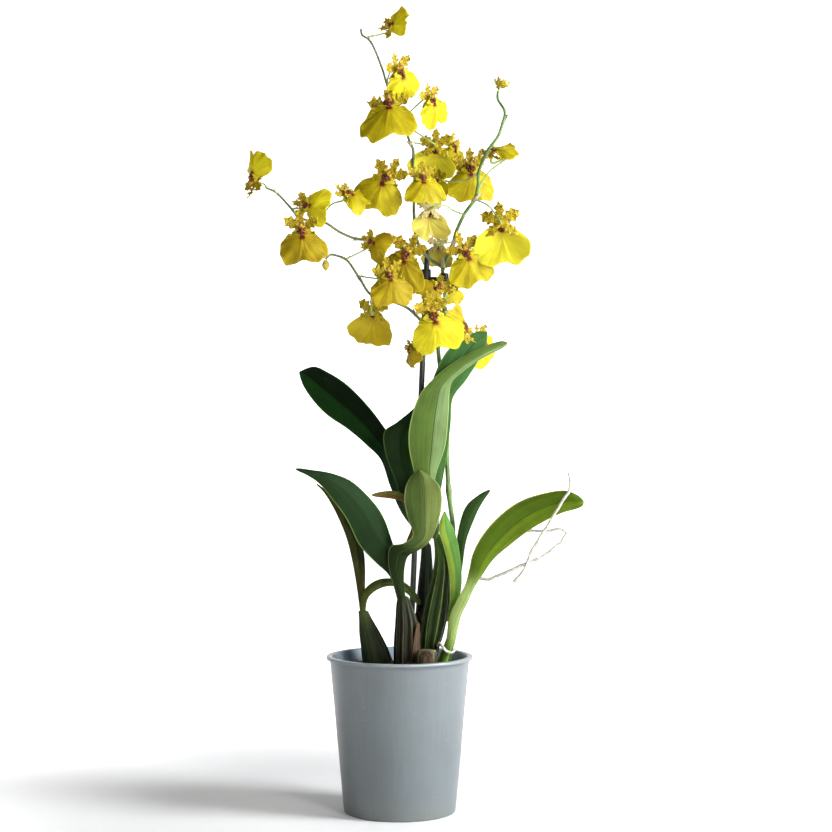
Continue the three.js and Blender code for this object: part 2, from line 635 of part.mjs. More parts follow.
function clip(extra) {
  const share = (CLIP_MIDDLE - STAKE_FOOT[2]) / (STAKE_TOP[2] - STAKE_FOOT[2]);
  const onStake = place(STAKE_FOOT).lerp(place(STAKE_TOP), share);
  const onSpike = place([40, 4.8, CLIP_MIDDLE]);
  const height = CLIP_HEIGHT + 2 * extra;
  const stakeRing = ringAround(onStake, STAKE_RADIUS + GAP + CLIP_WALL + extra, height, 16);
  const spikeRing = ringAround(onSpike, SPIKE_BASE_RADIUS + GAP + CLIP_WALL + extra, height * 0.6, 16);
  const reach = onSpike.clone().sub(onStake);
  const web = new THREE.BoxGeometry(reach.length(), 3.2 + 2 * extra, height * 0.5);
  web.rotateZ(Math.atan2(reach.y, reach.x));
  web.translate(onStake.x + reach.x / 2, onStake.y + reach.y / 2, onStake.z + reach.z / 2);
  return join([stakeRing, spikeRing, solidOf(web)]);
}

function outerRadius(z) {
  return POT_BASE_RADIUS + ((POT_TOP_RADIUS - POT_BASE_RADIUS) * z) / POT_HEIGHT;
}

function turned(profile, sides, lift = () => 0) {
  const rings = [];
  const points = [];
  const faces = [];
  for (const [r, z] of profile) {
    if (r === 0) {
      rings.push([points.length]);
      points.push(new THREE.Vector3(0, 0, z + lift(0, 0, z)));
      continue;
    }
    const ring = [];
    for (let s = 0; s < sides; s += 1) {
      const angle = (2 * Math.PI * s) / sides;
      ring.push(points.length);
      const [x, y] = [r * Math.cos(angle), r * Math.sin(angle)];
      points.push(new THREE.Vector3(x, y, z + lift(x, y, z)));
    }
    rings.push(ring);
  }
  for (let i = 0; i < rings.length - 1; i += 1) {
    const [a, b] = [rings[i], rings[i + 1]];
    for (let s = 0; s < sides; s += 1) {
      const n = (s + 1) % sides;
      if (a.length > 1) {
        faces.push([a[s], a[n], b.length > 1 ? b[s] : b[0]]);
      }
      if (b.length > 1) {
        faces.push([a.length > 1 ? a[n] : a[0], b[n], b[s]]);
      }
    }
  }
  return solid(points, faces);
}

function pot() {
  const rim = POT_TOP_RADIUS + RIM_OVERHANG;
  const round = 1.6;
  const inner = (z) => outerRadius(z) - POT_WALL;
  const profile = [
    [0, 0], [POT_BASE_RADIUS - round, 0], [outerRadius(round), round],
    [outerRadius(POT_HEIGHT - RIM_DEPTH), POT_HEIGHT - RIM_DEPTH],
    [rim - 0.6, POT_HEIGHT - RIM_DEPTH + 0.2], [rim, POT_HEIGHT - RIM_DEPTH * 0.6],
    [rim - 0.5, POT_HEIGHT - 0.5], [rim - 1.6, POT_HEIGHT],
    [inner(POT_HEIGHT) + 0.6, POT_HEIGHT - 0.2], [inner(POT_HEIGHT), POT_HEIGHT - 1],
    [inner(POT_FLOOR + round), POT_FLOOR + round], [inner(POT_FLOOR) - round, POT_FLOOR],
    [0, POT_FLOOR],
  ];
  return turned(profile, POT_SIDES);
}

function mediumBody() {
  const inner = (z) => outerRadius(z) - POT_WALL - GAP;
  const floor = POT_FLOOR + GAP;
  const round = 1.6 + GAP;
  const profile = [
    [0, floor], [inner(floor) - round, floor], [inner(floor + round), floor + round],
    [inner(mediumTop - 2), mediumTop - 2], [inner(mediumTop) - 2, mediumTop - 0.4],
    [44, mediumTop], [30, mediumTop + 0.5], [15, mediumTop + 0.8], [0, mediumTop + 1],
  ];
  return turned(profile, POT_SIDES / 2, (x, y, z) => (
    z > mediumTop - 0.2 ? MEDIUM_UNEVENNESS * Math.sin(x * 0.31 + 1) * Math.cos(y * 0.37) : 0
  ));
}

// ---------------------------------------------------------------- assembly

// Slivers narrower than this are cleaned from the joins.
const SLIVER = 0.03;

const group = new THREE.Group();
const placed = [];

function material(colour, roughness, metalness = 0) {
  return new THREE.MeshStandardMaterial({ color: colour, roughness, metalness });
}

function biggest(body) {
  const parts = body.decompose();
  return parts.reduce((best, one) => (one.volume() > best.volume() ? one : best));
}

function near(a, b) {
  return [0, 1, 2].every((k) => a.min[k] < b.max[k] && b.min[k] < a.max[k]);
}

// Keeps the new piece clear of everything placed before it: where two would press together,
// the new piece stops one clearance short.
function add(name, make, look, clearance = GAP) {
  let body = make(0);
  const box = body.boundingBox();
  for (const other of placed) {
    if (!near(box, other.box)) {
      continue;
    }
    const cut = body.subtract(other.wide);
    if (cut.volume() < body.volume() - 1e-6) {
      body = cut;
    }
  }
  body = biggest(body.simplify(SLIVER));
  const wide = make(clearance);
  placed.push({ name, wide, box: wide.boundingBox() });
  const { vertProperties, triVerts } = body.getMesh();
  const geometry = new THREE.BufferGeometry();
  geometry.setAttribute("position", new THREE.BufferAttribute(vertProperties, 3));
  geometry.setIndex(new THREE.BufferAttribute(triVerts, 1));
  geometry.computeVertexNormals();
  const mesh = new THREE.Mesh(geometry, look);
  mesh.name = name;
  group.add(mesh);
}

const bulbColours = {
  left_bulb: 0x5d6a35, centre_bulb: 0x4a4a2c, tall_bulb: 0x6f8a45, back_bulb: 0x2c3526,
  new_shoot: 0x7f9f4a, old_stub: 0x5a4633,
};
for (const name of Object.keys(BULBS)) {
  add(name, (extra) => bulb(name, extra), material(bulbColours[name], 0.6));
}
add("support_stake", stake, material(0x23261f, 0.45));
for (const name of Object.keys(STEMS)) {
  add(name, (extra) => stem(name, extra), material(0x55752f, 0.5));
}
add("stake_clip", clip, material(0x121113, 0.5));
for (const name of Object.keys(LEAVES)) {
  add(name, (extra) => leaf(name, extra), material(LEAVES[name].colour, 0.4));
}
for (const name of Object.keys(ROOTS)) {
  add(name, (extra) => root(name, extra), material(0xc9c7b4, 0.7));
}
for (const name of Object.keys(FLOWERS)) {
  add(name, (extra) => flowerSolid(name, extra), material(0xd2c22e, 0.5), PETAL_GAP);
}
add("growing_medium", mediumBody, material(0x3a2a1c, 0.95));
add("pot", pot, material(0x98a2a6, 0.4));

export default group;
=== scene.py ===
"""A potted dancing-lady orchid: the finished pieces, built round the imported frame.

Metres, +Z up, and the plant's front faces -Y. The tables are in millimetres, as in the part's source.
"""

import math
import random

import bmesh
import bpy
from mathutils import Matrix, Vector, noise


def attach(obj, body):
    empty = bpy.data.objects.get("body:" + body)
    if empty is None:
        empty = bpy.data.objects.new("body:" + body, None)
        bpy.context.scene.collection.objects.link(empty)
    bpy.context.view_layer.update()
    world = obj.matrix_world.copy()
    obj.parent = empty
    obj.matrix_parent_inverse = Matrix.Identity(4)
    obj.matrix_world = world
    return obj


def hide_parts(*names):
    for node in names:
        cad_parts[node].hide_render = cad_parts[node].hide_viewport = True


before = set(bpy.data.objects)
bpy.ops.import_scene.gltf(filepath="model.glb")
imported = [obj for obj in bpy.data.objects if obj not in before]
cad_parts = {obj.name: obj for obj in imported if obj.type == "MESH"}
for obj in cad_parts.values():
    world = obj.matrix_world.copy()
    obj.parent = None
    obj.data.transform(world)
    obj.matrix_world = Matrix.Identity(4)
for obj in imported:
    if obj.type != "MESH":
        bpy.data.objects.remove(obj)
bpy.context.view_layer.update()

MM = 0.001
FULL_TURN = 2 * math.pi

# What the back of a thick sheet has added to its v, so that a look can tell it from the front.
BACK = 2

# ------------------------------------------------------------------ sizes, in millimetres

POT_HEIGHT = 140
POT_BASE_RADIUS = 50
POT_TOP_RADIUS = 63
POT_WALL = 2.2
POT_FLOOR = 3
RIM_OVERHANG = 2.8
RIM_DEPTH = 3.2
MEDIUM_TOP = 125

# The spray is opened out from front to back by SPRAY_SPREAD, from one height to another.
SPRAY_SPREAD = 1.9
SPRAY_FROM = 425
SPRAY_FULL = 490

SPIKE_RADII = (2.3, 1.1)
BRANCH_RADII = (1.5, 0.9)
STALK_RADIUS = 0.7
OVARY_RADIUS = 1.25
ROOT_RADIUS = 1.25
SPIKE_BRACT = 9
BRANCH_BRACT = 5
STALK_BRACT = 3

LEAF_THICKNESS = 1.5
PETAL_THICKNESS = 0.4
WING_THICKNESS = 0.3
SHEATH_THICKNESS = 0.35
BRACT_THICKNESS = 0.25

BARK_CHIPS = 300
BARK_REACH = 49
BARK_LIFT = 0.6
HEAP_HEIGHT = 3.2
HEAP_WIDTH = 22

STAKE_FOOT = (6, 14, 60)
STAKE_TOP = (25, 8, 506)
STAKE_RADIUS = 2.6
CLIP_MIDDLE = 478
CLIP_WALL = 1.6
CLIP_OPENING = 0.7
# The clip's two rings: inner radius and height, round the stake and round the spike.
STAKE_RING = (2.9, 20)
SPIKE_RING = (2.5, 12)

# A stalk that has lost its flower, and the bud that ends the lowest branch.
BARE_STALK = ((40, 4, 477), (50, 2, 480), (62, 0, 480), (73, -1, 487), (80, -1, 500))
END_BUD = {"at": (-66, -6, 489), "length": 9, "radius": 3.4}

# Pseudobulbs: x, y, z, half width, half depth, from the foot to the neck.
BULBS = {
  "left_bulb": (
    (-18, -2, 118, 14.5, 11), (-19, -2, 130, 14.3, 11.5), (-22.5, -3, 146, 12.6, 10.5),
    (-27.5, -3, 162, 9, 8), (-31, -4, 174, 5.6, 5), (-33, -4, 181, 4.2, 3.8),
  ),
  "centre_bulb": (
    (7, -16, 118, 10.5, 9), (6, -16, 134, 11.6, 10), (6, -16, 154, 11.4, 10),
    (6, -16, 172, 10, 9), (4, -16, 187, 7, 6.2), (3, -16, 195, 4.6, 4),
  ),
  "tall_bulb": (
    (26, -4, 118, 7.4, 7), (26, -4, 134, 7.6, 7.2), (26.8, -4, 147, 8.6, 8), (28.8, -4, 160, 10.6, 9.6),
    (31, -3, 174, 11.4, 10), (33.4, -3, 188, 11, 9.6), (35.6, -2.5, 202, 9.2, 8.4), (37.2, -2, 216, 7.4, 7),
    (37, -2, 229, 5.6, 5.4), (35, -2, 241, 4.2, 4), (32.4, -2, 251, 3.4, 3.2),
  ),
  "back_bulb": (
    (22, 19, 118, 10, 8.5), (22, 20, 145, 10.4, 9), (23, 20, 182, 8.2, 7.6),
    (24, 20, 214, 6.2, 5.8), (24, 20, 241, 4.2, 4),
  ),
  "new_shoot": (
    (37, -20, 118, 6.4, 5.4), (39, -20, 135, 6.2, 5.4), (43, -19, 148, 5, 4.8), (46, -17, 158, 4, 3.8),
  ),
  "old_stub": (
    (24, -31, 118, 9, 5), (24, -31, 132, 10, 5.6), (24, -30, 144, 9.6, 5.4), (24, -30, 149, 7.6, 4.2),
  ),
}

# Leaves: the midrib's place from the left edge, the fold's height, and rows from the foot to the tip
# with the left edge's x, y, z and the right edge's.
LEAVES = {
  "upper_left_leaf": (0.5, 3.2, (
    (21, 22, 237, 26, 22, 236), (9, 23, 275, 2, 22, 266), (2, 26, 306, -9, 24, 291),
    (-3, 29, 326, -18, 25, 316), (-12, 32, 341, -30, 26, 328), (-29, 38, 364, -48, 31, 343),
    (-49, 44, 384, -67, 37, 356), (-66, 48, 395, -80, 43, 369), (-80, 51, 401, -89, 48, 382),
    (-93, 54, 397, -94.5, 54, 395),
  )),
  "inner_left_leaf": (0.5, 2.2, (
    (21, 18, 236, 26, 18, 236), (12, 7, 258, 19, 8, 256), (3, 4, 275, 17, 6, 269),
    (-3, 3, 295, 16, 6, 288), (-13, 2, 322, 15, 6, 314), (-14, 2, 341, 16, 6, 333),
    (-3, 2, 349, 18, 5, 342), (7, 2, 357, 20, 4, 352), (17, 2, 366, 19, 3, 364),
  )),
  "tall_front_leaf": (0.6, 3.4, (
    (29, -4, 245, 35, -4, 245), (22, -8, 275, 35, -4, 275), (15, -11, 297, 32, -5, 297),
    (8, -13, 329, 41, -5, 329), (10, -14, 351, 44, -4, 358), (19, -13, 376, 47, -2, 385),
    (33, -9, 391, 57, 1, 395), (53, -1, 406, 71, 8, 405), (76, 11, 418, 84, 15, 412),
    (96, 24, 425, 98, 25, 419),
  )),
  "tall_back_leaf": (0.5, 2.6, (
    (29, 0, 245, 35, 0, 245), (24, 3, 279, 36, 5, 279), (24, 4, 315, 42, 7, 315),
    (25, 4, 351, 46, 9, 347), (27, 5, 374, 48, 11, 371), (32, 7, 394, 60, 15, 387),
    (42, 11, 413, 71, 21, 404), (57, 18, 426, 77, 27, 417), (71, 25, 432, 80, 31, 425),
    (79, 32, 432, 80, 33, 431),
  )),
  "twisted_leaf": (0.5, 2.0, (
    (0, -18, 189, 6, -18, 189), (-8, -19, 214, 4, -17, 210), (-10, -22, 229, 5, -18, 223),
    (-7, -26, 240, 8, -20, 230), (3, -28, 243, 18, -21, 236), (12, -26, 249, 28, -18, 246),
    (7, -22, 266, 36, -18, 266), (4, -20, 281, 38, -18, 280), (6, -19, 294, 36, -18, 292),
    (11, -19, 302, 29, -18, 300), (17, -19, 307, 19, -19, 307),
  )),
  "lower_left_leaf": (0.48, -2.8, (
    (6, -15, 188, -1, -15, 188), (-1, -10, 223, -9, -13, 212), (-7, -10, 245, -21, -17, 224),
    (-15, -14, 266, -35, -23, 240), (-27, -21, 283, -46, -31, 262), (-43, -30, 298, -56, -39, 278),
    (-61, -40, 305, -68, -46, 294), (-77, -49, 308, -80, -52, 303), (-90, -56, 310, -90, -56, 308),
  )),
  "narrow_left_leaf": (0.5, 1.8, (
    (-35, -4, 175, -30, -4, 175), (-38, -3, 198, -31, -3, 198), (-42, 0, 221, -31, 0, 219),
    (-47, 4, 242, -33, 5, 235), (-55, 10, 261, -43, 11, 255), (-63, 17, 277, -50, 18, 268),
    (-71, 22, 287, -63, 22, 283), (-77, 27, 293, -75, 27, 292),
  )),
  "small_pale_leaf": (0.45, 1.8, (
    (43, -15, 152, 48, -15, 152), (44, -13, 176, 50, -11, 176), (45, -12, 198, 55, -7, 200),
    (44, -12, 218, 55, -7, 221), (39, -12, 239, 53, -8, 238), (35, -12, 254, 49, -8, 252),
    (37, -12, 264, 44, -10, 263), (40, -12, 270, 41, -12, 270),
  )),
  "lance_leaf": (0.5, 1.4, (
    (39, 1, 170, 45, 2, 170), (49, 3, 203, 54, 5, 203), (51, 4, 225, 57, 7, 223),
    (52, 6, 249, 61, 10, 245), (60, 12, 273, 69, 16, 265), (71, 19, 283, 77, 21, 279),
    (81, 25, 288, 83, 25, 287),
  )),
  "broad_right_leaf": (0.5, 2.8, (
    (41, -19, 152, 49, -19, 151), (45, -20, 178, 55, -15, 177), (51, -21, 192, 61, -16, 189),
    (58, -22, 205, 67, -16, 203), (62, -24, 219, 75, -18, 216), (65, -27, 233, 84, -20, 228),
    (74, -31, 251, 99, -24, 241), (89, -35, 268, 115, -29, 254), (106, -39, 280, 131, -34, 264),
    (128, -43, 287.5, 144, -39, 270), (146, -46, 290, 154, -43, 273), (156, -47, 286, 160, -46, 276),
    (160.5, -47, 282, 161.8, -47, 279),
  )),
  "drying_leaf": (0.5, 0.9, (
    (1, -12.6, 188, 5, -12.6, 188), (-3, -8, 210, 1, -8, 210), (0, -7, 228, 5, -7, 228),
    (6, -6, 243, 11, -6, 243), (11, -5, 257, 17, -4, 256), (11, -5, 270, 18, -4, 273),
    (3, -6, 278, 6, -5, 284), (-8, -8, 281, -7, -7, 288), (-25, -14, 283, -25, -13, 286),
  )),
  "arching_leaf": (0.5, 1.2, (
    (-35, -6.6, 175, -31, -6.6, 175), (-33, -6, 197, -28, -7, 192), (-22, -2, 207, -18, -3, 200),
    (-8, 1, 209, -7, 0, 202), (3, 2, 206, 1, 1, 199), (13, 1, 198, 10, 0, 192),
    (20, -1, 187, 17, -1, 184),
  )),
}

# Stems and roots: points from the foot to the tip.
STEMS = {
  "flower_spike": (
    (44, 14, 112), (44, 14, 130), (47, 15, 190), (49, 15, 226), (48, 15, 257), (45, 15, 281),
    (43, 16, 311), (43, 18, 347), (40, 20, 379), (36, 20, 404), (35, 18, 418), (37, 13, 437),
    (41, 8, 457), (40, 5, 473), (39, 4, 489), (44, 3, 500), (48, 2, 510), (51, 0, 521),
    (58, -2, 536), (67, -4, 549), (70, -5, 559), (71, -6, 573), (79, -8, 592), (87, -8, 603),
    (91, -7, 613), (94, -5, 627), (88, -3, 639), (88, -2, 645),
  ),
  "top_branch": (
    (39, 4, 489), (31, 4, 494), (22, 3, 502), (16, 4, 513), (13, 6, 536), (13, 7, 554),
    (14, 7, 570), (12, 6, 581), (12, 5, 596), (9, 5, 603), (4, 6, 619), (0, 7, 626),
    (-7, 8, 644), (-12, 8, 657), (-16, 7, 670), (-27, 4, 694), (-34, 3, 699), (-35, 2, 704),
  ),
  "left_branch": (
    (22, 3, 502), (12, 2, 507), (4, 1, 511), (-8, 0, 516), (-21, 0, 514), (-38, -1, 514),
    (-52, -3, 519), (-69, -5, 529), (-83, -6, 530), (-91, -6, 534), (-100, -6, 544),
    (-111, -7, 555), (-118, -8, 558),
  ),
  "lower_branch": (
    (35, 17, 423), (27, 9, 432), (20, 2, 440), (7, -2, 452), (-8, -5, 458), (-25, -6, 463),
    (-37, -6, 480), (-48, -6, 495), (-57, -6, 498.5), (-62, -6, 499), (-66, -6, 495),
  ),
}

ROOTS = {
  "curled_root": (
    (44, -16, 146), (46.5, -10, 158), (50, -8, 180), (56, -8, 194), (62, -8, 204), (69, -9, 209),
    (79, -12, 209), (89, -17, 214), (98, -21, 218), (107, -25, 222), (114, -28, 225.5),
    (121, -30, 228), (128, -31, 231.5), (135, -32, 237), (139, -32, 240), (143.5, -33, 245),
    (147, -33, 250), (145.5, -32, 254.5), (142.5, -31, 255.5), (138, -29, 254.5), (130, -25, 253),
    (121, -21, 253), (113, -17, 252.5), (106, -14, 253.5),
  ),
  "long_root": (
    (101.5, -24, 208), (107.5, -27, 215), (113.3, -30, 225), (116, -32, 234), (121, -36, 244),
    (128, -41, 255), (135.5, -46, 268.5), (142, -50, 280), (148, -53, 290), (149, -53, 299), (148, -52, 306),
  ),
  "short_root": (
    (34, -10, 150), (36, -20, 153), (38, -27, 151), (42, -28, 147), (46, -28, 146), (50, -27, 149),
  ),
}

# Flowers: the heart's x, y, z, the lip's width, the turn, nod and roll in degrees, the lip's droop and
# curl, the stem it hangs from, where it leaves that stem in points from its foot, and, for some, the
# points its stalk passes.
FLOWER_TRAITS = (
  "at", "size", "turn", "nod", "roll", "droop", "curl", "stem", "station", "via",
)
FLOWER_ROWS = (
  ((-8, -3, 704), 27, -45, 10, 100, 10, 10, "top_branch", 15.4),
  ((-2, -4, 665), 38, 35, 0, 28, 20, 15, "top_branch", 13),
  ((-9, -11, 631), 50, -8, 46, 8, 22, 25, "top_branch", 11.6),
  ((27, -3, 640), 33, 34, 0, 25, 20, 10, "top_branch", 10.6),
  ((32, 6, 600), 42, 172, 0, 4, 14, 12, "top_branch", 10),
  ((48, 15, 602), 30, 40, 10, 0, 20, 10, "top_branch", 9),
  ((64, 13, 583), 43, 6, 4, 2, 16, 12, "flower_spike", 22.4, ((86, 8, 597), (76, 22, 592))),
  ((82, -4, 589), 31, -12, 54, 112, 10, 10, "flower_spike", 19.7,
   ((80, -1, 574), (90, 0, 582), (98, -1, 588))),
  ((90, -2, 651), 22, 150, 62, 0, 20, 40, "flower_spike", 27),
  ((-129, -9, 563), 36, -50, 4, 172, 26, -10, "left_branch", 12),
  ((-84, -8, 543), 32, -30, 0, 80, 14, 10, "left_branch", 9.6),
  ((-48, -9, 553), 30, 20, 38, 50, 14, 10, "left_branch", 7, ((-66, -5, 538), (-60, -4, 545))),
  ((-86, -15, 521), 42, -3, 4, 5, 16, 10, "left_branch", 8.4),
  ((-26, -10, 510), 27, -28, 12, 62, 14, 8, "lower_branch", 7, ((-38, -6, 500),)),
  ((-10, -7, 569), 44, -6, 8, -30, 18, 14, "top_branch", 6.5),
  ((20, -8, 568), 36, 10, 24, 4, 16, 14, "top_branch", 6),
  ((36, 5, 569), 26, -52, 8, 3, 18, 10, "flower_spike", 21, ((61, -2, 567), (50, 1, 566))),
  ((27, -4, 540), 36, -160, -6, 0, 16, 12, "flower_spike", 18, ((50, -4, 538), (40, -7, 543))),
  ((8, -14, 500), 46, -12, 8, -22, 18, 16, "left_branch", 2.2),
  ((-10, -19, 480), 38, 8, 20, 12, 18, 14, "lower_branch", 6, ((-26, -10, 478),)),
  ((-24, 1, 449), 40, 174, 18, 6, 14, 12, "lower_branch", 5),
  ((29, -18, 447), 46, 5, 2, 12, 18, 14, "lower_branch", 1.6),
  ((36, -9, 470), 30, 18, 14, -64, 12, 10, "flower_spike", 12.6),
  ((57, -4, 432), 34, 62, 8, -146, 20, 10, "flower_spike", 12),
  ((73, 46, 427), 36, 46, 0, 40, 20, 12, "flower_spike", 10.6, ((50, 36, 428),)),
  ((10, -9, 416), 22, -58, 0, 20, 16, 10, "lower_branch", 1, ((17, -2, 425),)),
  ((90, -10, 527), 50, 176, 2, -6, 16, 12, "flower_spike", 19, ((79, -10, 542),)),
  ((57, -9, 502), 42, 12, 6, 26, 18, 12, "flower_spike", 15.4),
  ((35, 15, 512), 28, 170, 8, 0, 14, 10, "flower_spike", 16, ((50, 12, 514),)),
  ((49, 14, 474), 22, 50, 10, 10, 16, 10, "flower_spike", 12.8),
)
FLOWERS = {
    f"flower_{number:02d}": dict(zip(FLOWER_TRAITS, row)) for number, row in enumerate(FLOWER_ROWS, 1)
}
# How strongly a half-open flower's outer parts curve in to its front.
CUPPED = {"flower_09": 2.9}

# ------------------------------------------------------------------ lines and places


def smooth_step(value, low, high):
    share = min(max((value - low) / (high - low), 0), 1)
    return share * share * (3 - 2 * share)


def bell(value, middle, width):
    """1 at middle, falling to nothing a few widths away."""
    return math.exp(-(((value - middle) / width) ** 2))


def place(point):
    """A table point in metres, with the flower spray opened out from front to back."""
    x, y, z = point
    spread = 1 + (SPRAY_SPREAD - 1) * smooth_step(z, SPRAY_FROM, SPRAY_FULL)
    return Vector((x, y * spread, z)) * MM


class Line:
    """A smooth line through points: at(0) is the first and at(1) the last."""

    def __init__(self, points):
        self.points = [Vector(p) for p in points]

    def at(self, share):
        points = self.points
        last = len(points) - 1
        along = min(max(share, 0), 1) * last
        i = min(int(along), last - 1)
        w = along - i
        b, c = points[i], points[i + 1]
        a = points[i - 1] if i > 0 else 2 * b - c
        d = points[i + 2] if i + 2 <= last else 2 * c - b
        before, here, after = (
            max((q - p).length, 1e-6) ** 0.5 for p, q in ((a, b), (b, c), (c, d))
        )
        start = ((b - a) / before - (c - a) / (before + here) + (c - b) / here) * here
        end = ((c - b) / here - (d - b) / (here + after) + (d - c) / after) * here
        return (
            b
            + start * w
            + (3 * (c - b) - 2 * start - end) * w * w
            + (2 * (b - c) + start + end) * w * w * w
        )

    def points_along(self, steps):
        return [self.at(i / steps) for i in range(steps + 1)]


def ribbon_frames(points):
    """Centre, sideways and upward directions at each point, turned as little as possible on the way."""
    frames = []
    across = None
    for i, centre in enumerate(points):
        along = (points[min(i + 1, len(points) - 1)] - points[max(i - 1, 0)]).normalized()
        if across is None:
            across = Vector((1, 0, 0)) if abs(along.x) < 0.8 else Vector((0, 1, 0))
        across = (across - along * across.dot(along)).normalized()
        frames.append((centre, across, along.cross(across)))
    return frames


# ------------------------------------------------------------------ shapes


def sheet(bm, across, along, at, look=0, thick=0, closed=False):
    """A grid whose corners move to at(u, v), u across and v along, each from 0 to 1, as its UV map says.

    With a thickness it is a closed shell, and its back's UV map has BACK added to v.
    """
    uv = bm.loops.layers.uv.verify()
    corners = bmesh.ops.create_grid(bm, x_segments=across, y_segments=along, size=0.5)["verts"]
    faces = list(dict.fromkeys(face for corner in corners for face in corner.link_faces))
    for face in faces:
        face.material_index = look
        face.smooth = True
        for loop in face.loops:
            loop[uv].uv = (loop.vert.co.x + 0.5, loop.vert.co.y + 0.5)
    for corner in corners:
        corner.co = at(corner.co.x + 0.5, corner.co.y + 0.5)
    if closed:
        bmesh.ops.remove_doubles(bm, verts=corners, dist=1e-7)
    if thick:
        bm.normal_update()
        fronts = len(bm.faces)
        bmesh.ops.solidify(bm, geom=faces, thickness=thick)
        for face in list(bm.faces)[fronts:]:
            for loop in face.loops:
                loop[uv].uv.y += BACK


def tube(bm, points, radius, sides, look=0):
    """A closed tube through points: radius(share, angle) is its half thickness there."""
    points = [points[0], *points, points[-1]]
    frames = ribbon_frames(points)
    last = len(points) - 1

    def at(u, v):
        i = round(v * last)
        centre, across, up = frames[i]
        if i in (0, last):
            return centre.copy()
        angle = FULL_TURN * u
        reach = radius((i - 1) / (last - 2), angle)
        return centre + (across * math.cos(angle) + up * math.sin(angle)) * reach

    sheet(bm, sides, last, at, look, closed=True)


def lump(bm, centre, size, look=0, turn=None, roughness=0.12, fineness=2, seed=0):
    """A rounded, slightly uneven lump with half sizes size."""
    made = bmesh.ops.create_icosphere(bm, subdivisions=fineness, radius=1)["verts"]
    turn = turn or Matrix.Identity(3)
    offset = Vector((seed * 3.1, seed * 1.7, seed * 0.9))
    for vert in made:
        swell = 1 + roughness * noise.noise(vert.co * 1.6 + offset)
        vert.co = centre + turn @ Vector(c * s * swell for c, s in zip(vert.co, size))
    for face in {f for v in made for f in v.link_faces}:
        face.material_index = look
        face.smooth = True


def piece(name, bm, looks, replaced=()):
    """Makes the finished piece, riding on the plant and pot's one body."""
    mesh = bpy.data.meshes.new(name)
    bm.to_mesh(mesh)
    bm.free()
    made = bpy.data.objects.new(name, mesh)
    bpy.context.scene.collection.objects.link(made)
    for look in looks:
        mesh.materials.append(look.material)
    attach(made, "root")
    if replaced:
        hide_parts(*replaced)
    return made


# ------------------------------------------------------------------ finishes


def colour(red, green, blue):
    """A colour given as 0 to 255 on a screen, as the shader's linear colour."""
    linear = [
        c / 255 / 12.92 if c <= 10 else ((c / 255 + 0.055) / 1.055) ** 2.4 for c in (red, green, blue)
    ]
    return (*linear, 1)


def shade(tone, share, lift=0):
    """A screen colour with each part multiplied by share and raised by lift."""
    return tuple(min(255, part * share + lift) for part in tone)


class Value:
    """A number that varies over a surface, with the arithmetic a shader has."""

    def __init__(self, look, socket):
        self.look = look
        self.socket = socket

    def calc(self, operation, *values):
        node = self.look.node("Math", {"operation": operation}, dict(enumerate(values)))
        return Value(self.look, node.outputs[0])

    def __add__(self, other):
        return self.calc("ADD", self, other)

    __radd__ = __add__

    def __sub__(self, other):
        return self.calc("SUBTRACT", self, other)

    def __rsub__(self, other):
        return self.calc("SUBTRACT", other, self)

    def __mul__(self, other):
        return self.calc("MULTIPLY", self, other)

    __rmul__ = __mul__

    def __abs__(self):
        return self.calc("ABSOLUTE", self)

    def sine(self):
        return self.calc("SINE", self)

    def root(self):
        return self.calc("SQRT", self, 0.0)

    def ramp(self, low, high):
        """0 below low, 1 above high, and smooth between them."""
        node = self.look.node(
            "MapRange", {"interpolation_type": "SMOOTHSTEP"}, {0: self, 1: low, 2: high, 3: 0, 4: 1}
        )
        return Value(self.look, node.outputs[0])


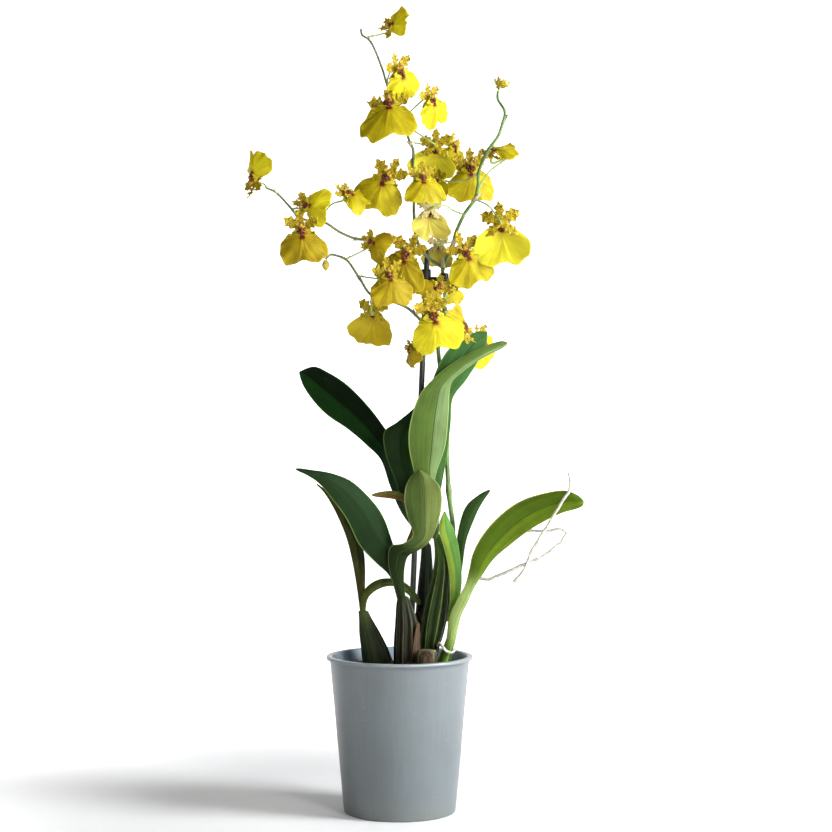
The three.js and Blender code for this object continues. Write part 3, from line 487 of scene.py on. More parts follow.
class Look:
    """One finish: a material, and the nodes that vary it."""

    def __init__(self, name, **plain):
        self.material = bpy.data.materials.new(name)
        self.material.use_nodes = True
        self.tree = self.material.node_tree
        self.shader = next(n for n in self.tree.nodes if n.type == "BSDF_PRINCIPLED")
        for socket, value in plain.items():
            self.shader.inputs[socket.replace("_", " ")].default_value = value
        self.coordinates = self.tree.nodes.new("ShaderNodeTexCoord")

    def node(self, kind, settings, sockets):
        """Adds a node: its settings first, then the values or links of its sockets."""
        node = self.tree.nodes.new("ShaderNode" + kind)
        for name, value in settings.items():
            setattr(node, name, value)
        for name, value in sockets.items():
            self.feed(node.inputs[name], value)
        return node

    def feed(self, socket, value):
        if isinstance(value, Value):
            self.tree.links.new(value.socket, socket)
        elif isinstance(value, bpy.types.NodeSocket):
            self.tree.links.new(value, socket)
        else:
            socket.default_value = value

    def uv(self):
        """Across and along a sheet, and 1 on its back."""
        parts = self.node("SeparateXYZ", {}, {0: self.coordinates.outputs["UV"]})
        u, v = Value(self, parts.outputs[0]), Value(self, parts.outputs[1])
        back = v.calc("GREATER_THAN", v, BACK - 0.5)
        return u, v - back * BACK, back

    def position(self):
        parts = self.node("SeparateXYZ", {}, {0: self.coordinates.outputs["Object"]})
        return [Value(self, parts.outputs[i]) for i in range(3)]

    def noise(self, scale, detail=3.0, vector=None):
        """Even clouds over the piece, or over a vector of its own."""
        vector = self.coordinates.outputs["Object"] if vector is None else vector
        sockets = {"Vector": vector, "Scale": scale, "Detail": detail, "Roughness": 0.55}
        return Value(self, self.node("TexNoise", {}, sockets).outputs[0])

    def grain(self, detail, x, y, z):
        """Noise drawn out by how much each of its three coordinates is multiplied."""
        return self.noise(1.0, detail, self.node("CombineXYZ", {}, {0: x, 1: y, 2: z}).outputs[0])

    def cells(self, scale):
        """The distance from the nearest of many scattered points."""
        sockets = {"Vector": self.coordinates.outputs["Object"], "Scale": scale}
        return Value(self, self.node("TexVoronoi", {"feature": "F1"}, sockets).outputs["Distance"])

    def mix(self, share, low, high):
        """The colour low where share is 0, and high where it is 1. Three numbers are a screen colour."""
        low, high = (
            colour(*tone) if isinstance(tone, tuple) and len(tone) == 3 else tone for tone in (low, high)
        )
        node = self.node("Mix", {"data_type": "RGBA"}, {0: share, 6: low, 7: high})
        return node.outputs[2]

    def finish(self, base, roughness=None, height=None, depth=0.0002):
        """Joins the colour, the roughness and the relief, depth metres deep, to the shader."""
        self.feed(self.shader.inputs["Base Color"], base)
        if roughness is not None:
            self.feed(self.shader.inputs["Roughness"], roughness)
        if height is not None:
            bump = self.node("Bump", {}, {"Strength": 1.0, "Distance": depth, "Height": height})
            self.feed(self.shader.inputs["Normal"], bump.outputs[0])
        return self


def leaf_look(name, left, right, margin, rib, foot, middle, foot_end, gloss, veins):
    """A leaf: two halves either side of a midrib, coloured apart as painted light and shade, long veins, a
    paler margin and a mottle.

    A leaf with a foot colour takes it up to foot_end of its length.
    """
    look = Look(name, Specular_IOR_Level=0.07)
    u, v = look.uv()[:2]
    streak = look.grain(3.0, u * 46, v * 2.2, 0.3)
    fine = look.grain(2.0, u * 120, v * 5, 4.1)
    mottle = look.noise(60.0, 4.0)
    # Painted light and shade: one half of the fold is drawn lit and the other shaded, each with its own
    # darker streak colour.
    side = (u + (mottle - 0.5) * 0.03).ramp(middle - 0.03, middle + 0.03)
    tone = look.mix(side, left, right)
    dark = look.mix(side, shade(left, 0.72), shade(right, 0.74))
    tone = look.mix((streak * 0.65 + mottle * 0.5).ramp(0.35, 0.75) * 0.8, dark, tone)
    pale = look.mix(side, shade(left, 1.18, 8), shade(right, 1.12, 8))
    tone = look.mix(fine.ramp(0.48, 0.72) * veins, tone, pale)
    if foot:
        tone = look.mix((v + (mottle - 0.5) * 0.12).ramp(foot_end * 0.55, foot_end), foot, tone)
    edge = abs(u - 0.5).ramp(0.455, 0.495)
    tone = look.mix(edge * 0.85, tone, margin)
    line = 1 - abs(u - middle).ramp(0.004, 0.022)
    tone = look.mix(line * 0.8, tone, rib)
    speck = (1 - look.cells(210.0).ramp(0.05, 0.12)) * look.noise(35.0, 1.0).ramp(0.58, 0.66)
    tone = look.mix(speck * 0.35, tone, (96, 84, 44))
    roughness = streak * 0.16 + (mottle * 0.12 + gloss - 0.1)
    return look.finish(tone, roughness, streak * 0.6 + fine * 0.4 - line * 0.8, 0.00035)


def bulb_look(name, dark, light, tip, line, ridges):
    """A pseudobulb: ridges with painted shade in their grooves and painted highlight lines on their crests,
    drier brown patches, and a top of its own colour.
    """
    look = Look(name, Specular_IOR_Level=0.16)
    u, v = look.uv()[:2]
    ridge = look.grain(3.0, (u * FULL_TURN).sine() * 5, v * 1.6, u * 9)
    grain = look.grain(3.0, u * 60, v * 7, 2.0)
    patch = look.noise(75.0, 4.0)
    tone = look.mix(ridge.ramp(0.3, 0.62), dark, light)
    turn = u * FULL_TURN
    wander = (grain - 0.5) * 0.9
    crest = (turn * ridges + (turn * 2).sine() * 1.5 + (v * 4).sine() * 0.5 + wander + math.pi / 2).sine()
    # Painted shade: the skin darkens towards the bottom of each groove.
    tone = look.mix((1 - crest.ramp(-1.0, -0.2)) * 0.55, tone, shade(dark, 0.55))
    # Painted highlights: pale lines along the ridges' crests.
    pale = crest.ramp(0.86, 0.99) * grain.ramp(0.3, 0.45)
    tone = look.mix(pale * 0.75, tone, line)
    tone = look.mix(v.ramp(0.55, 1.0) * 0.8, tone, tip)
    tone = look.mix(patch.ramp(0.58, 0.72) * 0.4, tone, (46, 38, 19))
    tone = look.mix(grain.ramp(0.55, 0.75) * 0.3, tone, shade(dark, 0.55))
    return look.finish(tone, patch * 0.3 + 0.4, grain * 0.7 + ridge * 0.5, 0.0006)


def papery_look(name, pale, brown):
    """A dead sheath: papery, with fibres along it."""
    look = Look(name, Specular_IOR_Level=0.3)
    u, v = look.uv()[:2]
    fibre = look.grain(3.0, u * 38, v * 3, 1.2)
    patch = look.noise(140.0, 4.0)
    tone = look.mix(fibre.ramp(0.35, 0.65), brown, pale)
    tone = look.mix(patch.ramp(0.5, 0.75) * 0.6, tone, shade(brown, 0.55))
    return look.finish(tone, patch * 0.2 + 0.62, fibre, 0.0004)


def lip_look(name, bright, deep, pale, crest):
    """The lip: yellow, deeper at its neck, with fine veins, red-brown by the crest and paler on its back."""
    look = Look(name, Specular_IOR_Level=0.12, Subsurface_Weight=0.18, Subsurface_Scale=0.002)
    look.shader.inputs["Subsurface Radius"].default_value = (1.0, 0.8, 0.15)
    u, v, back = look.uv()
    vein = look.grain(3.0, u * 42, v * 2.4, 0.7)
    fine = look.grain(2.0, u * 110, v * 3.5, 5.2)
    cloud = look.noise(95.0, 3.0)
    tone = look.mix((vein * 0.5 + cloud * 0.6).ramp(0.38, 0.72), deep, bright)
    tone = look.mix(fine.ramp(0.5, 0.75) * 0.35, tone, pale)
    tone = look.mix((v + (cloud - 0.5) * 0.2).ramp(0.93, 1.05) * 0.5, tone, pale)
    front = 1 - back
    tone = look.mix(back * 0.4, tone, pale)
    neck = 1 - (v + (vein - 0.5) * 0.1).ramp(0.1, 0.3)
    tone = look.mix(neck * (0.25 + front * 0.35), tone, (150, 98, 16))
    stain = 1 - (v + (cloud - 0.5) * 0.16).ramp(0.08, 0.19)
    tone = look.mix(stain * front, tone, crest)
    return look.finish(tone, vein * 0.2 + 0.42, vein * 0.8 + fine * 0.3, 0.0003)


def tepal_look(name, ground, bar, pale, density):
    """A sepal or petal: yellow-green, crossed by broken brown bars."""
    look = Look(name, Specular_IOR_Level=0.14, Subsurface_Weight=0.12, Subsurface_Scale=0.0015)
    look.shader.inputs["Subsurface Radius"].default_value = (1.0, 0.8, 0.2)
    u, v = look.uv()[:2]
    cloud = look.noise(170.0, 3.0)
    wander = look.grain(2.0, u * 3, v * 5, 1.7)
    tone = look.mix(cloud.ramp(0.3, 0.7), ground, pale)
    bars = ((v + (wander - 0.5) * 0.5) * 46).sine().ramp(0.0 - density, 0.85 - density)
    broken = look.grain(2.0, u * 7, v * 11, 3.9).ramp(0.34, 0.5)
    inner = 1 - v.ramp(0.84, 0.97)
    specks = (1 - look.cells(820.0).ramp(0.2, 0.42)) * look.noise(240.0, 2.0).ramp(0.4, 0.55)
    tone = look.mix(specks * inner * 0.55, tone, bar)
    tone = look.mix(bars * broken * inner * 0.75, tone, bar)
    return look.finish(tone, cloud * 0.2 + 0.45, cloud * 0.5 + wander * 0.5, 0.0003)


def crest_look(name, deep, warm):
    """The warty crest: red-brown, with yellow showing on the high points."""
    look = Look(name, Specular_IOR_Level=0.4, Subsurface_Weight=0.05, Subsurface_Scale=0.001)
    cloud = look.noise(420.0, 2.0)
    tone = look.mix(cloud.ramp(0.42, 0.6), deep, warm)
    tone = look.mix(cloud.ramp(0.6, 0.72) * 0.9, tone, (176, 134, 20))
    return look.finish(tone, cloud * 0.25 + 0.35, look.noise(900.0, 2.0), 0.0002)


def stem_look(name, dark, light, fleck):
    """A living stem: streaked green, flecked darker."""
    look = Look(name, Specular_IOR_Level=0.4)
    u, v = look.uv()[:2]
    streak = look.grain(2.0, u * 9, v * 26, 2.2)
    cloud = look.noise(70.0, 3.0)
    dots = look.cells(420.0)
    tone = look.mix((streak * 0.5 + cloud * 0.6).ramp(0.38, 0.7), dark, light)
    tone = look.mix((1 - dots.ramp(0.12, 0.3)) * cloud.ramp(0.45, 0.6) * 0.5, tone, fleck)
    return look.finish(tone, cloud * 0.25 + 0.32, streak, 0.00025)


def pot_look():
    """Plain moulded plastic: a faint orange peel, light scuffs, dust near the foot, a painted highlight along
    the lip and painted light on the inside.
    """
    look = Look("pot_plastic", Specular_IOR_Level=0.5, Coat_Weight=0.12, Coat_Roughness=0.3)
    x, y, z = look.position()
    out = (x * x + y * y).root()
    cloud = look.noise(22.0, 4.0)
    stretch = look.grain(3.0, x * 260, y * 260, z * 14)
    peel = look.noise(900.0, 2.0)
    tone = look.mix((cloud * 0.5 + stretch * 0.5).ramp(0.3, 0.7), (101, 108, 111), (107, 115, 119))
    scuff = look.grain(4.0, x * 90, y * 90, z * 420).ramp(0.66, 0.74)
    tone = look.mix(scuff * 0.12, tone, (178, 184, 184))
    dust = (1 - (z + (cloud - 0.5) * 0.03).ramp(0.0, 0.03)) * 0.35
    tone = look.mix(dust, tone, (126, 126, 118))
    # Painted highlight: a pale band along the top of the rolled rim.
    lip = z.ramp(0.1368, 0.1388) * 0.5
    tone = look.mix(lip, tone, (158, 166, 168))
    # Painted light: the upper inside wall is drawn paler and bluish.
    slope = (POT_TOP_RADIUS - POT_BASE_RADIUS) / POT_HEIGHT
    depth = out - z * slope - (POT_BASE_RADIUS - 0.6 * POT_WALL) * MM
    inside = (1 - depth.ramp(-0.0003, 0.0003)) * z.ramp(0.09, 0.12)
    tone = look.mix(inside, tone, (156, 178, 190))
    roughness = cloud * 0.12 + scuff * 0.15 + (0.3 + dust * 0.4)
    return look.finish(tone, roughness, peel * 0.6 + stretch * 0.5, 0.00006)


def bark_look(name, dark, warm, pale):
    """Bark chips: reddish brown with corky layers and pale weathered grain."""
    look = Look(name, Specular_IOR_Level=0.25)
    x, y, z = look.position()
    layer = look.grain(4.0, x * 130, y * 150, z * 520)
    patch = look.noise(110.0, 4.0)
    tone = look.mix(layer.ramp(0.35, 0.65), dark, warm)
    tone = look.mix(patch.ramp(0.55, 0.72) * 0.7, tone, pale)
    return look.finish(tone, patch * 0.2 + 0.7, layer * 0.8 + patch * 0.4, 0.0012)


def root_look(name, pale, tip):
    """An aerial root: chalky skin with fine cross cracks, and a greener tip."""
    look = Look(name, Specular_IOR_Level=0.25)
    u, v = look.uv()[:2]
    cloud = look.noise(260.0, 3.0)
    rings = look.grain(2.0, u * 4, v * 90, 1.0)
    tone = look.mix(cloud.ramp(0.3, 0.7), shade(pale, 0.82), pale)
    tone = look.mix(rings.ramp(0.55, 0.7) * 0.35, tone, (166, 154, 128))
    tone = look.mix(v.ramp(0.93, 0.99) * 0.7, tone, tip)
    return look.finish(tone, cloud * 0.2 + 0.6, rings * 0.6 + cloud * 0.6, 0.0003)


def coated_look():
    """The stake's dark plastic coat, with a slight wave and rubbed grey patches."""
    look = Look("stake_coat", Specular_IOR_Level=0.5)
    x, y, z = look.position()
    cloud = look.noise(60.0, 3.0)
    rub = look.grain(3.0, x * 500, y * 500, z * 60).ramp(0.6, 0.75)
    tone = look.mix(cloud.ramp(0.3, 0.7), (30, 33, 28), (44, 47, 42))
    tone = look.mix(rub * 0.5, tone, (86, 88, 84))
    return look.finish(tone, rub * 0.2 + 0.34, cloud + rub * 0.4, 0.0004)


def clip_look():
    """The clip's black plastic, faintly grained and clouded."""
    look = Look("clip_plastic", Specular_IOR_Level=0.5)
    grain = look.noise(1400.0, 2.0)
    cloud = look.noise(150.0, 3.0)
    tone = look.mix(cloud.ramp(0.4, 0.7), (16, 15, 17), (30, 29, 31))
    return look.finish(tone, cloud * 0.2 + 0.36, grain, 0.00008)


# ------------------------------------------------------------------ pot and growing medium


def outer_radius(z):
    """The pot's half width at a height."""
    return POT_BASE_RADIUS + (POT_TOP_RADIUS - POT_BASE_RADIUS) * z / POT_HEIGHT


def make_pot():
    """The pot's wall, turned from its outline: underside, outside, rolled rim, inside, floor."""
    rim = POT_TOP_RADIUS + RIM_OVERHANG
    under = POT_HEIGHT - RIM_DEPTH
    inner = outer_radius(POT_HEIGHT) - POT_WALL
    foot = POT_BASE_RADIUS
    profile = [(0, 0.9), (foot - 4.5, 0.9), (foot - 3.6, 0), (foot - 1.5, 0)]
    profile += [(outer_radius(1.6) - 0.45, 0.45), (outer_radius(1.6), 1.6)]
    profile += [(outer_radius(z), z) for z in (12, 40, 70, 100, 125, 133)]
    profile += [(outer_radius(under) + 0.1, under - 0.5), (outer_radius(under) + 0.6, under - 0.05)]
    profile += [(rim - 0.7, under + 0.1), (rim - 0.15, under + 0.5), (rim, under + 1.3)]
    profile += [(rim - 0.15, POT_HEIGHT - 0.8), (rim - 0.6, POT_HEIGHT - 0.2), (rim - 1.3, POT_HEIGHT)]
    profile += [(inner + 1.2, POT_HEIGHT), (inner + 0.4, POT_HEIGHT - 0.3), (inner, POT_HEIGHT - 1.1)]
    profile += [(outer_radius(z) - POT_WALL, z) for z in (130, 110, 80, 40, 8)]
    profile += [(outer_radius(4) - POT_WALL - 1.2, POT_FLOOR + 0.5)]
    profile += [(outer_radius(3) - POT_WALL - 3, POT_FLOOR), (0, POT_FLOOR)]
    bm = bmesh.new()
    corners = [bm.verts.new((r * MM, 0, z * MM)) for r, z in profile]
    edges = [bm.edges.new(pair) for pair in zip(corners, corners[1:])]
    bmesh.ops.spin(
        bm, geom=corners + edges, cent=(0, 0, 0), axis=(0, 0, 1), angle=FULL_TURN, steps=160, use_merge=True
    )
    bmesh.ops.remove_doubles(bm, verts=bm.verts[:], dist=1e-6)
    bmesh.ops.recalc_face_normals(bm, faces=bm.faces[:])
    for face in bm.faces:
        face.smooth = True
    piece("pot_shell", bm, [pot_look()], ["pot"])


def make_bark():
    """Loose chips over the growing medium, heaped a little round the bulbs."""
    draw = random.Random(11)
    feet = [(rows[0][0], rows[0][1]) for rows in BULBS.values()]
    bm = bmesh.new()
    for i in range(BARK_CHIPS):
        reach = BARK_REACH * math.sqrt(draw.random())
        angle = draw.uniform(0, FULL_TURN)
        x, y = reach * math.cos(angle), reach * math.sin(angle)
        size = Vector((draw.uniform(4.5, 8.5), draw.uniform(3, 5.5), draw.uniform(1.2, 2.4))) * MM
        nearest = min(math.hypot(x - fx, y - fy) for fx, fy in feet)
        heap = HEAP_HEIGHT * bell(nearest, 0, HEAP_WIDTH)
        z = MEDIUM_TOP + BARK_LIFT + heap + draw.uniform(0, 2.6)
        turn = Matrix.Rotation(draw.uniform(0, FULL_TURN), 3, "Z")
        turn = turn @ Matrix.Rotation(draw.uniform(-0.45, 0.45), 3, "X")
        turn = turn @ Matrix.Rotation(draw.uniform(-0.4, 0.4), 3, "Y")
        chip = bmesh.ops.create_cube(bm, size=2)["verts"]
        edges = list(dict.fromkeys(edge for vert in chip for edge in vert.link_edges))
        cut = bmesh.ops.bevel(
            bm, geom=chip + edges, offset=0.45, segments=1, profile=0.5, affect="EDGES", material=-1
        )
        corners = list(dict.fromkeys(v for f in cut["faces"] for v in f.verts))
        seed = Vector((i * 0.73, i * 0.31, 0))
        for vert in corners:
            ragged = 1 + 0.35 * noise.noise(vert.co * 0.9 + seed)
            point = Vector(c * s * ragged for c, s in zip(vert.co, size))
            vert.co = turn @ point + Vector((x, y, z)) * MM
    piece("bark_chips", bm, [bark_look("bark_chip", (52, 33, 20), (104, 68, 40), (142, 112, 82))])


def finish_medium():
    """The carried-over body of the growing medium, seen only between the chips."""
    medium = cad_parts["growing_medium"]
    medium.data.materials.clear()
    # The bed is the same bark drawn darker than the chips: painted shade for the gaps between them.
    medium.data.materials.append(bark_look("bark_bed_with_painted_shade", (30, 20, 13), (58, 40, 25), (84, 66, 48)).material)


# ------------------------------------------------------------------ bulbs


def bulb_line(rows):
    """The lines of a bulb's middle and of its half sizes."""
    middle = [Vector(row[:3]) * MM for row in rows]
    return Line(middle), Line([Vector((row[3], row[4], 0)) * MM for row in rows])


def bulb_point(rows, angle, share, extra=0.0):
    """A point on a bulb's skin, extra metres off it."""
    middle, half = bulb_line(rows)
    centre, size = middle.at(share), half.at(share)
    return centre + Vector(((size.x + extra) * math.cos(angle), (size.y + extra) * math.sin(angle), 0))


def make_bulb(node, look, ridges, depth, slot, strips):
    """A bulb whose ridges are depth of its half width deep, in its dead sheaths."""
    rows = BULBS[node]
    middle, half = bulb_line(rows)
    seed = Vector((len(node) * 1.7, ridges, 0))
    bm = bmesh.new()
    sides, steps = 96, 60
    frames = [(middle.at(i / steps), half.at(i / steps)) for i in range(steps + 1)]

    def at(u, v):
        i = round(v * (steps + 2)) - 1
        centre, size = frames[min(max(i, 0), steps)]
        if i < 0 or i > steps:
            return centre.copy()
        angle = FULL_TURN * u
        share = i / steps
        wave = math.cos(ridges * angle + 1.5 * math.sin(2 * angle) + 0.5 * math.sin(share * 4))
        crease = 1 - depth * (0.5 - 0.5 * wave) ** 2 * smooth_step(1 - share, 0.02, 0.3)
        around = Vector((math.cos(angle) * 1.3, math.sin(angle) * 1.3, share * 4))
        uneven = 1 + 0.05 * noise.noise(around + seed)
        neck = 1 - 0.5 * smooth_step(share, 0.96, 1)
        reach = crease * uneven * neck
        return centre + Vector((size.x * reach * math.cos(angle), size.y * reach * math.sin(angle), 0))

    sheet(bm, sides, steps + 2, at, 0, closed=True)
    looks = [look, papery_look(node + "_sheath", (96, 76, 54), (46, 28, 19))]
    for i, (start, width, low, high, lift) in enumerate(strips):
        make_sheath(bm, rows, start, width, low, high, lift, 1, i + len(node))
    piece(node + "_skin", bm, looks, [node])


def make_sheath(bm, rows, start, width, low, high, lift, look, seed):
    """A dead sheath that wraps part of a bulb and frays away from it at its top."""

    def at(u, v):
        ragged = 1 - 0.3 * abs(noise.noise(Vector((u * 7, seed, 0)))) * v - 0.5 * abs(u - 0.5) ** 1.5 * v
        share = low + (high - low) * v * ragged
        angle = math.radians(start + width * (u - 0.5) * (1 - 0.45 * v * v))
        away = 0.0007 + lift * MM * v**3 + 0.0006 * noise.noise(Vector((u * 5, v * 6, seed)))
        return bulb_point(rows, angle, share, away)

    sheet(bm, 14, 20, at, look, thick=SHEATH_THICKNESS * MM)


# ------------------------------------------------------------------ leaves


def from_midrib(u, middle):
    """0 on the midrib and 1 on either edge of a leaf."""
    return (middle - u) / middle if u < middle else (u - middle) / (1 - middle)


def make_leaf(node, look, waver):
    """A leaf blade between its two edges, keeled along the midrib, thin at the margins."""
    middle, fold, rows = LEAVES[node]
    left = Line([place(row[:3]) for row in rows])
    right = Line([place(row[3:]) for row in rows])
    along_steps, across_steps = 110, 22
    table = []
    for i in range(along_steps + 1):
        v = i / along_steps
        a, b = left.at(v), right.at(v)
        ahead, behind = min(v + 0.01, 1), max(v - 0.01, 0)
        along = left.at(ahead) + right.at(ahead) - left.at(behind) - right.at(behind)
        across = b - a
        out = across.cross(along).normalized()
        table.append((a, across, out))
    phase = len(node) * 0.9

    def at(u, v):
        a, across, out = table[round(v * along_steps)]
        width = across.length
        tip = math.sqrt(max(0.0, 1 - (max(v - 0.955, 0) / 0.047) ** 2))
        side = from_midrib(u, middle)
        full = min(1, width / (14 * MM))
        rise = fold * MM * full * (1 - side**1.5)
        groove = -0.55 * MM * full * bell(side, 0, 0.06)
        ripple = waver * MM * side * side * math.sin(v * 19 + phase + (2 if u < middle else 0)) * full
        share = middle + (u - middle) * tip
        return a + across * share + out * (rise + groove + ripple)

    bm = bmesh.new()
    sheet(bm, across_steps, along_steps, at)
    made = piece(node + "_blade", bm, [look], [node])
    thickness = made.vertex_groups.new(name="thickness")
    shares = {}
    for loop in made.data.loops:
        shares[loop.vertex_index] = made.data.uv_layers[0].data[loop.index].uv[0]
    for index, u in shares.items():
        thickness.add([index], 1 - 0.75 * from_midrib(u, middle) ** 2, "REPLACE")
    shell = made.modifiers.new("thickness", "SOLIDIFY")
    shell.thickness = LEAF_THICKNESS * MM
    shell.offset = 0
    shell.vertex_group = "thickness"
    shell.use_even_offset = False
    smooth = made.modifiers.new("smooth", "SUBSURF")
    smooth.levels = smooth.render_levels = 1


# ------------------------------------------------------------------ flowers


def facing(flower):
    """The directions out of a flower's face, up it and to its right."""
    turn, nod, roll = (math.radians(flower[k]) for k in ("turn", "nod", "roll"))
    out = Vector((math.sin(turn) * math.cos(nod), -math.cos(turn) * math.cos(nod), math.sin(nod)))
    up = (Vector((0, 0, 1)) - out * out.z).normalized()
    up = Matrix.Rotation(roll, 3, out) @ up
    return out, up, up.cross(out)


# How far the lip's blade reaches from its neck, every LIP_STEP degrees from straight down to LIP_SPAN.
LIP_REACH = (0.565, 0.625, 0.66, 0.665, 0.6, 0.46, 0.33, 0.27)
LIP_STEP = 15
LIP_SPAN = 105
LIP_NECK = 0.18
LIP_LENGTH = 0.82
LIP_TILT = 12

# Sepals and petals: angle from the top, length and half width as shares of the lip's width.
TEPALS = ((0, 0.41, 0.085), (-62, 0.41, 0.118), (62, 0.41, 0.118), (-128, 0.38, 0.085), (128, 0.38, 0.085))
STAR_LEAN = 0.24

# The crest's warts: sideways, down, forward and half size, as shares of the lip's width.
WARTS = (
    (0, 0.01, 0.12, 0.042), (0.05, 0.04, 0.115, 0.036), (-0.05, 0.04, 0.115, 0.036),
    (0, 0.075, 0.13, 0.044), (0.038, 0.11, 0.115, 0.034), (-0.038, 0.11, 0.115, 0.034),
    (0, 0.15, 0.12, 0.036), (0.072, 0.085, 0.1, 0.028), (-0.072, 0.085, 0.1, 0.028),
    (0.02, 0.19, 0.115, 0.02), (-0.02, 0.19, 0.115, 0.02),
)


def reach_at(degrees):
    """The lip's reach at an angle from straight down."""
    along = min(abs(degrees) / LIP_STEP, len(LIP_REACH) - 1.001)
    i = int(along)
    w = along - i
    low = LIP_REACH[i - 1] if i else LIP_REACH[1]
    high = LIP_REACH[min(i + 2, len(LIP_REACH) - 1)]
    a, b = LIP_REACH[i], LIP_REACH[i + 1]
    bend = low - 2.5 * a + 2 * b - high / 2 + w * (1.5 * (a - b) + (high - low) / 2)
    return a + w * ((b - low) / 2 + w * bend)


def make_flower(node, flower, looks, seed):
    """A flower: its lip and side lobes, its sepals and petals, and the crest, column and hub."""
    draw = random.Random(seed)
    size = flower["size"] * MM
    out, up, right = facing(flower)
    heart = place(flower["at"])
    droop = math.tan(math.radians(flower["droop"]))
    start = math.radians(LIP_TILT)
    bend = math.radians((LIP_TILT + flower["curl"]) * 1.6) / LIP_LENGTH
    bend = bend if abs(bend) > 0.02 else 0.02
    phase = [draw.uniform(0, FULL_TURN) for _ in range(6)]
    ruffle = draw.uniform(0.75, 1.25)
    notch = draw.uniform(-0.1, 1.1)
    lean = draw.uniform(-7, 7)
    cupped = CUPPED.get(node, 0)
    thick = PETAL_THICKNESS * MM

    def spot(x, y, z):
        """A point in the flower's own directions; a half-open flower's outer parts curve in to its front."""
        far = math.hypot(x, y)
        turn = cupped * far
        inward = math.sin(turn) / turn if turn > 0.01 else 1
        forward = (1 - math.cos(turn)) / cupped if cupped else 0
        return heart + (right * x * inward + up * y * inward + out * (z + forward)) * size

    def lip_spot(x, down, z):
        """A point on the lip's bent surface, down from the heart, and z in front of it."""
        angle = start - bend * down
        y = -(math.sin(start) - math.sin(angle)) / bend
        forward = 0.07 + (math.cos(angle) - math.cos(start)) / bend
        fall = (math.sqrt(x * x + 0.004) - math.sqrt(0.004)) * droop
        return spot(x, y - z * math.sin(angle), forward - fall + z * math.cos(angle))

    def blade(u, v):
        degrees = LIP_SPAN - 2 * LIP_SPAN * u
        angle = math.radians(degrees)
        wavy = 1 + 0.035 * math.sin(7 * angle + phase[0]) + 0.02 * math.sin(17 * angle + phase[1])
        uneven = 1 + 0.08 * noise.noise(Vector((angle * 2.1, seed * 1.3, 0)))
        reach = reach_at(degrees + lean) * wavy * uneven
        reach -= 0.09 * notch * bell(degrees, lean, 7)
        r = 0.002 + (reach - 0.002) * v
        x = r * math.sin(angle) * (1 - 0.25 * (1 - v) ** 2)
        down = LIP_NECK + r * math.cos(angle)
        edge = v**3
        crease = -0.03 * bell(degrees, lean, 11) * v
        pleat = 0.006 * math.sin(13 * angle + phase[2]) * v + 0.004 * math.sin(23 * angle + phase[3]) * v
        ripple = 0.03 * math.sin(5.2 * angle + phase[4]) + 0.016 * math.sin(13 * angle + phase[5])
        frill = ruffle * edge * ripple
        frill += 0.11 * v * v * noise.noise(Vector((angle * 1.4, v * 1.1, seed * 2.7)))
        hump = 0.03 * math.sin(math.pi * min(v * 1.3, 1))
        return lip_spot(x, down, crease + pleat + frill + hump * 0.6)

    bm = bmesh.new()
    sheet(bm, 60, 22, blade, 0, thick)

    for side in (-1, 1):

        def ear(u, v):
            bulge = math.sin(math.pi * min(max(u, 0.02), 0.98)) ** 0.6
            x = side * (0.02 + 0.19 * v * bulge)
            down = 0.01 + 0.2 * (u if side < 0 else 1 - u) - 0.02 * v
            return lip_spot(x, down, 0.015 + 0.03 * v + 0.016 * math.sin(11 * u + phase[0]) * v)

        sheet(bm, 12, 7, ear, 0, thick)

    for i, (degrees, length, half) in enumerate(TEPALS):
        tilt = math.radians(degrees + draw.uniform(-7, 7))
        reach = length * draw.uniform(0.92, 1.08)
        sweep = draw.uniform(-0.05, 0.11)
        twist = draw.uniform(-0.25, 0.25)
        own = draw.uniform(0, FULL_TURN)

        def tepal(u, v):
            s = 2 * u - 1
            shape = (0.3 + 0.7 * math.sin(math.pi * min(v * 0.66 + 0.04, 1)) ** 1.4) * max(
                0.0, 1 - smooth_step(v, 0.6, 1.04) ** 1.5
            )
            wave = 1 + 0.2 * math.sin(v * 23 + own + (1.9 if s > 0 else 0))
            across = s * half * shape * wave
            far = reach * v
            y = math.cos(tilt) * far + math.sin(tilt) * across
            x = -math.sin(tilt) * far + math.cos(tilt) * across
            frill = 0.034 * s * s * math.sin(v * 24 + own + s) * smooth_step(v, 0.1, 0.4)
            keel = -0.02 * (1 - s * s) * (1 - v)
            z = STAR_LEAN * y + sweep * v * v + twist * across * v + frill + keel + 0.006 * (i % 2)
            return spot(x, y, z)

        sheet(bm, 10, 22, tepal, 1, thick)

    turn = Matrix((right, up, out)).transposed()
    for i, (x, down, forward, half) in enumerate(WARTS):
        grow = draw.uniform(0.8, 1.2)
        centre = lip_spot(x * 1.25, down, forward - 0.085)
        lump(bm, centre, (half * size * grow, half * size, half * size * 1.2), 2, turn, 0.5, 2, seed + i)

    def column_radius(share, angle):
        return size * (0.038 + 0.01 * math.sin(math.pi * share)) * (1 - 0.6 * smooth_step(share, 0.8, 1))

    rise = ((-0.01, 0.02), (0.005, 0.08), (0.03, 0.12), (0.06, 0.15), (0.085, 0.165))
    column = Line([spot(0, y, z) for y, z in rise])
    tube(bm, column.points_along(10), column_radius, 12, 3)
    lump(bm, spot(0, 0.08, 0.18), (0.024 * size, 0.024 * size, 0.02 * size), 3, turn, 0.2, 2, seed)
    for side in (-1, 1):

        def wing(u, v):
            x = side * (0.03 + 0.075 * v * math.sin(math.pi * min(max(u, 0.05), 0.95)) ** 0.5)
            y = 0.02 + 0.08 * (u if side > 0 else 1 - u)
            return spot(x, y, 0.13 + 0.05 * v + 0.008 * math.sin(8 * u + phase[1]))

        sheet(bm, 8, 5, wing, 3, WING_THICKNESS * MM)

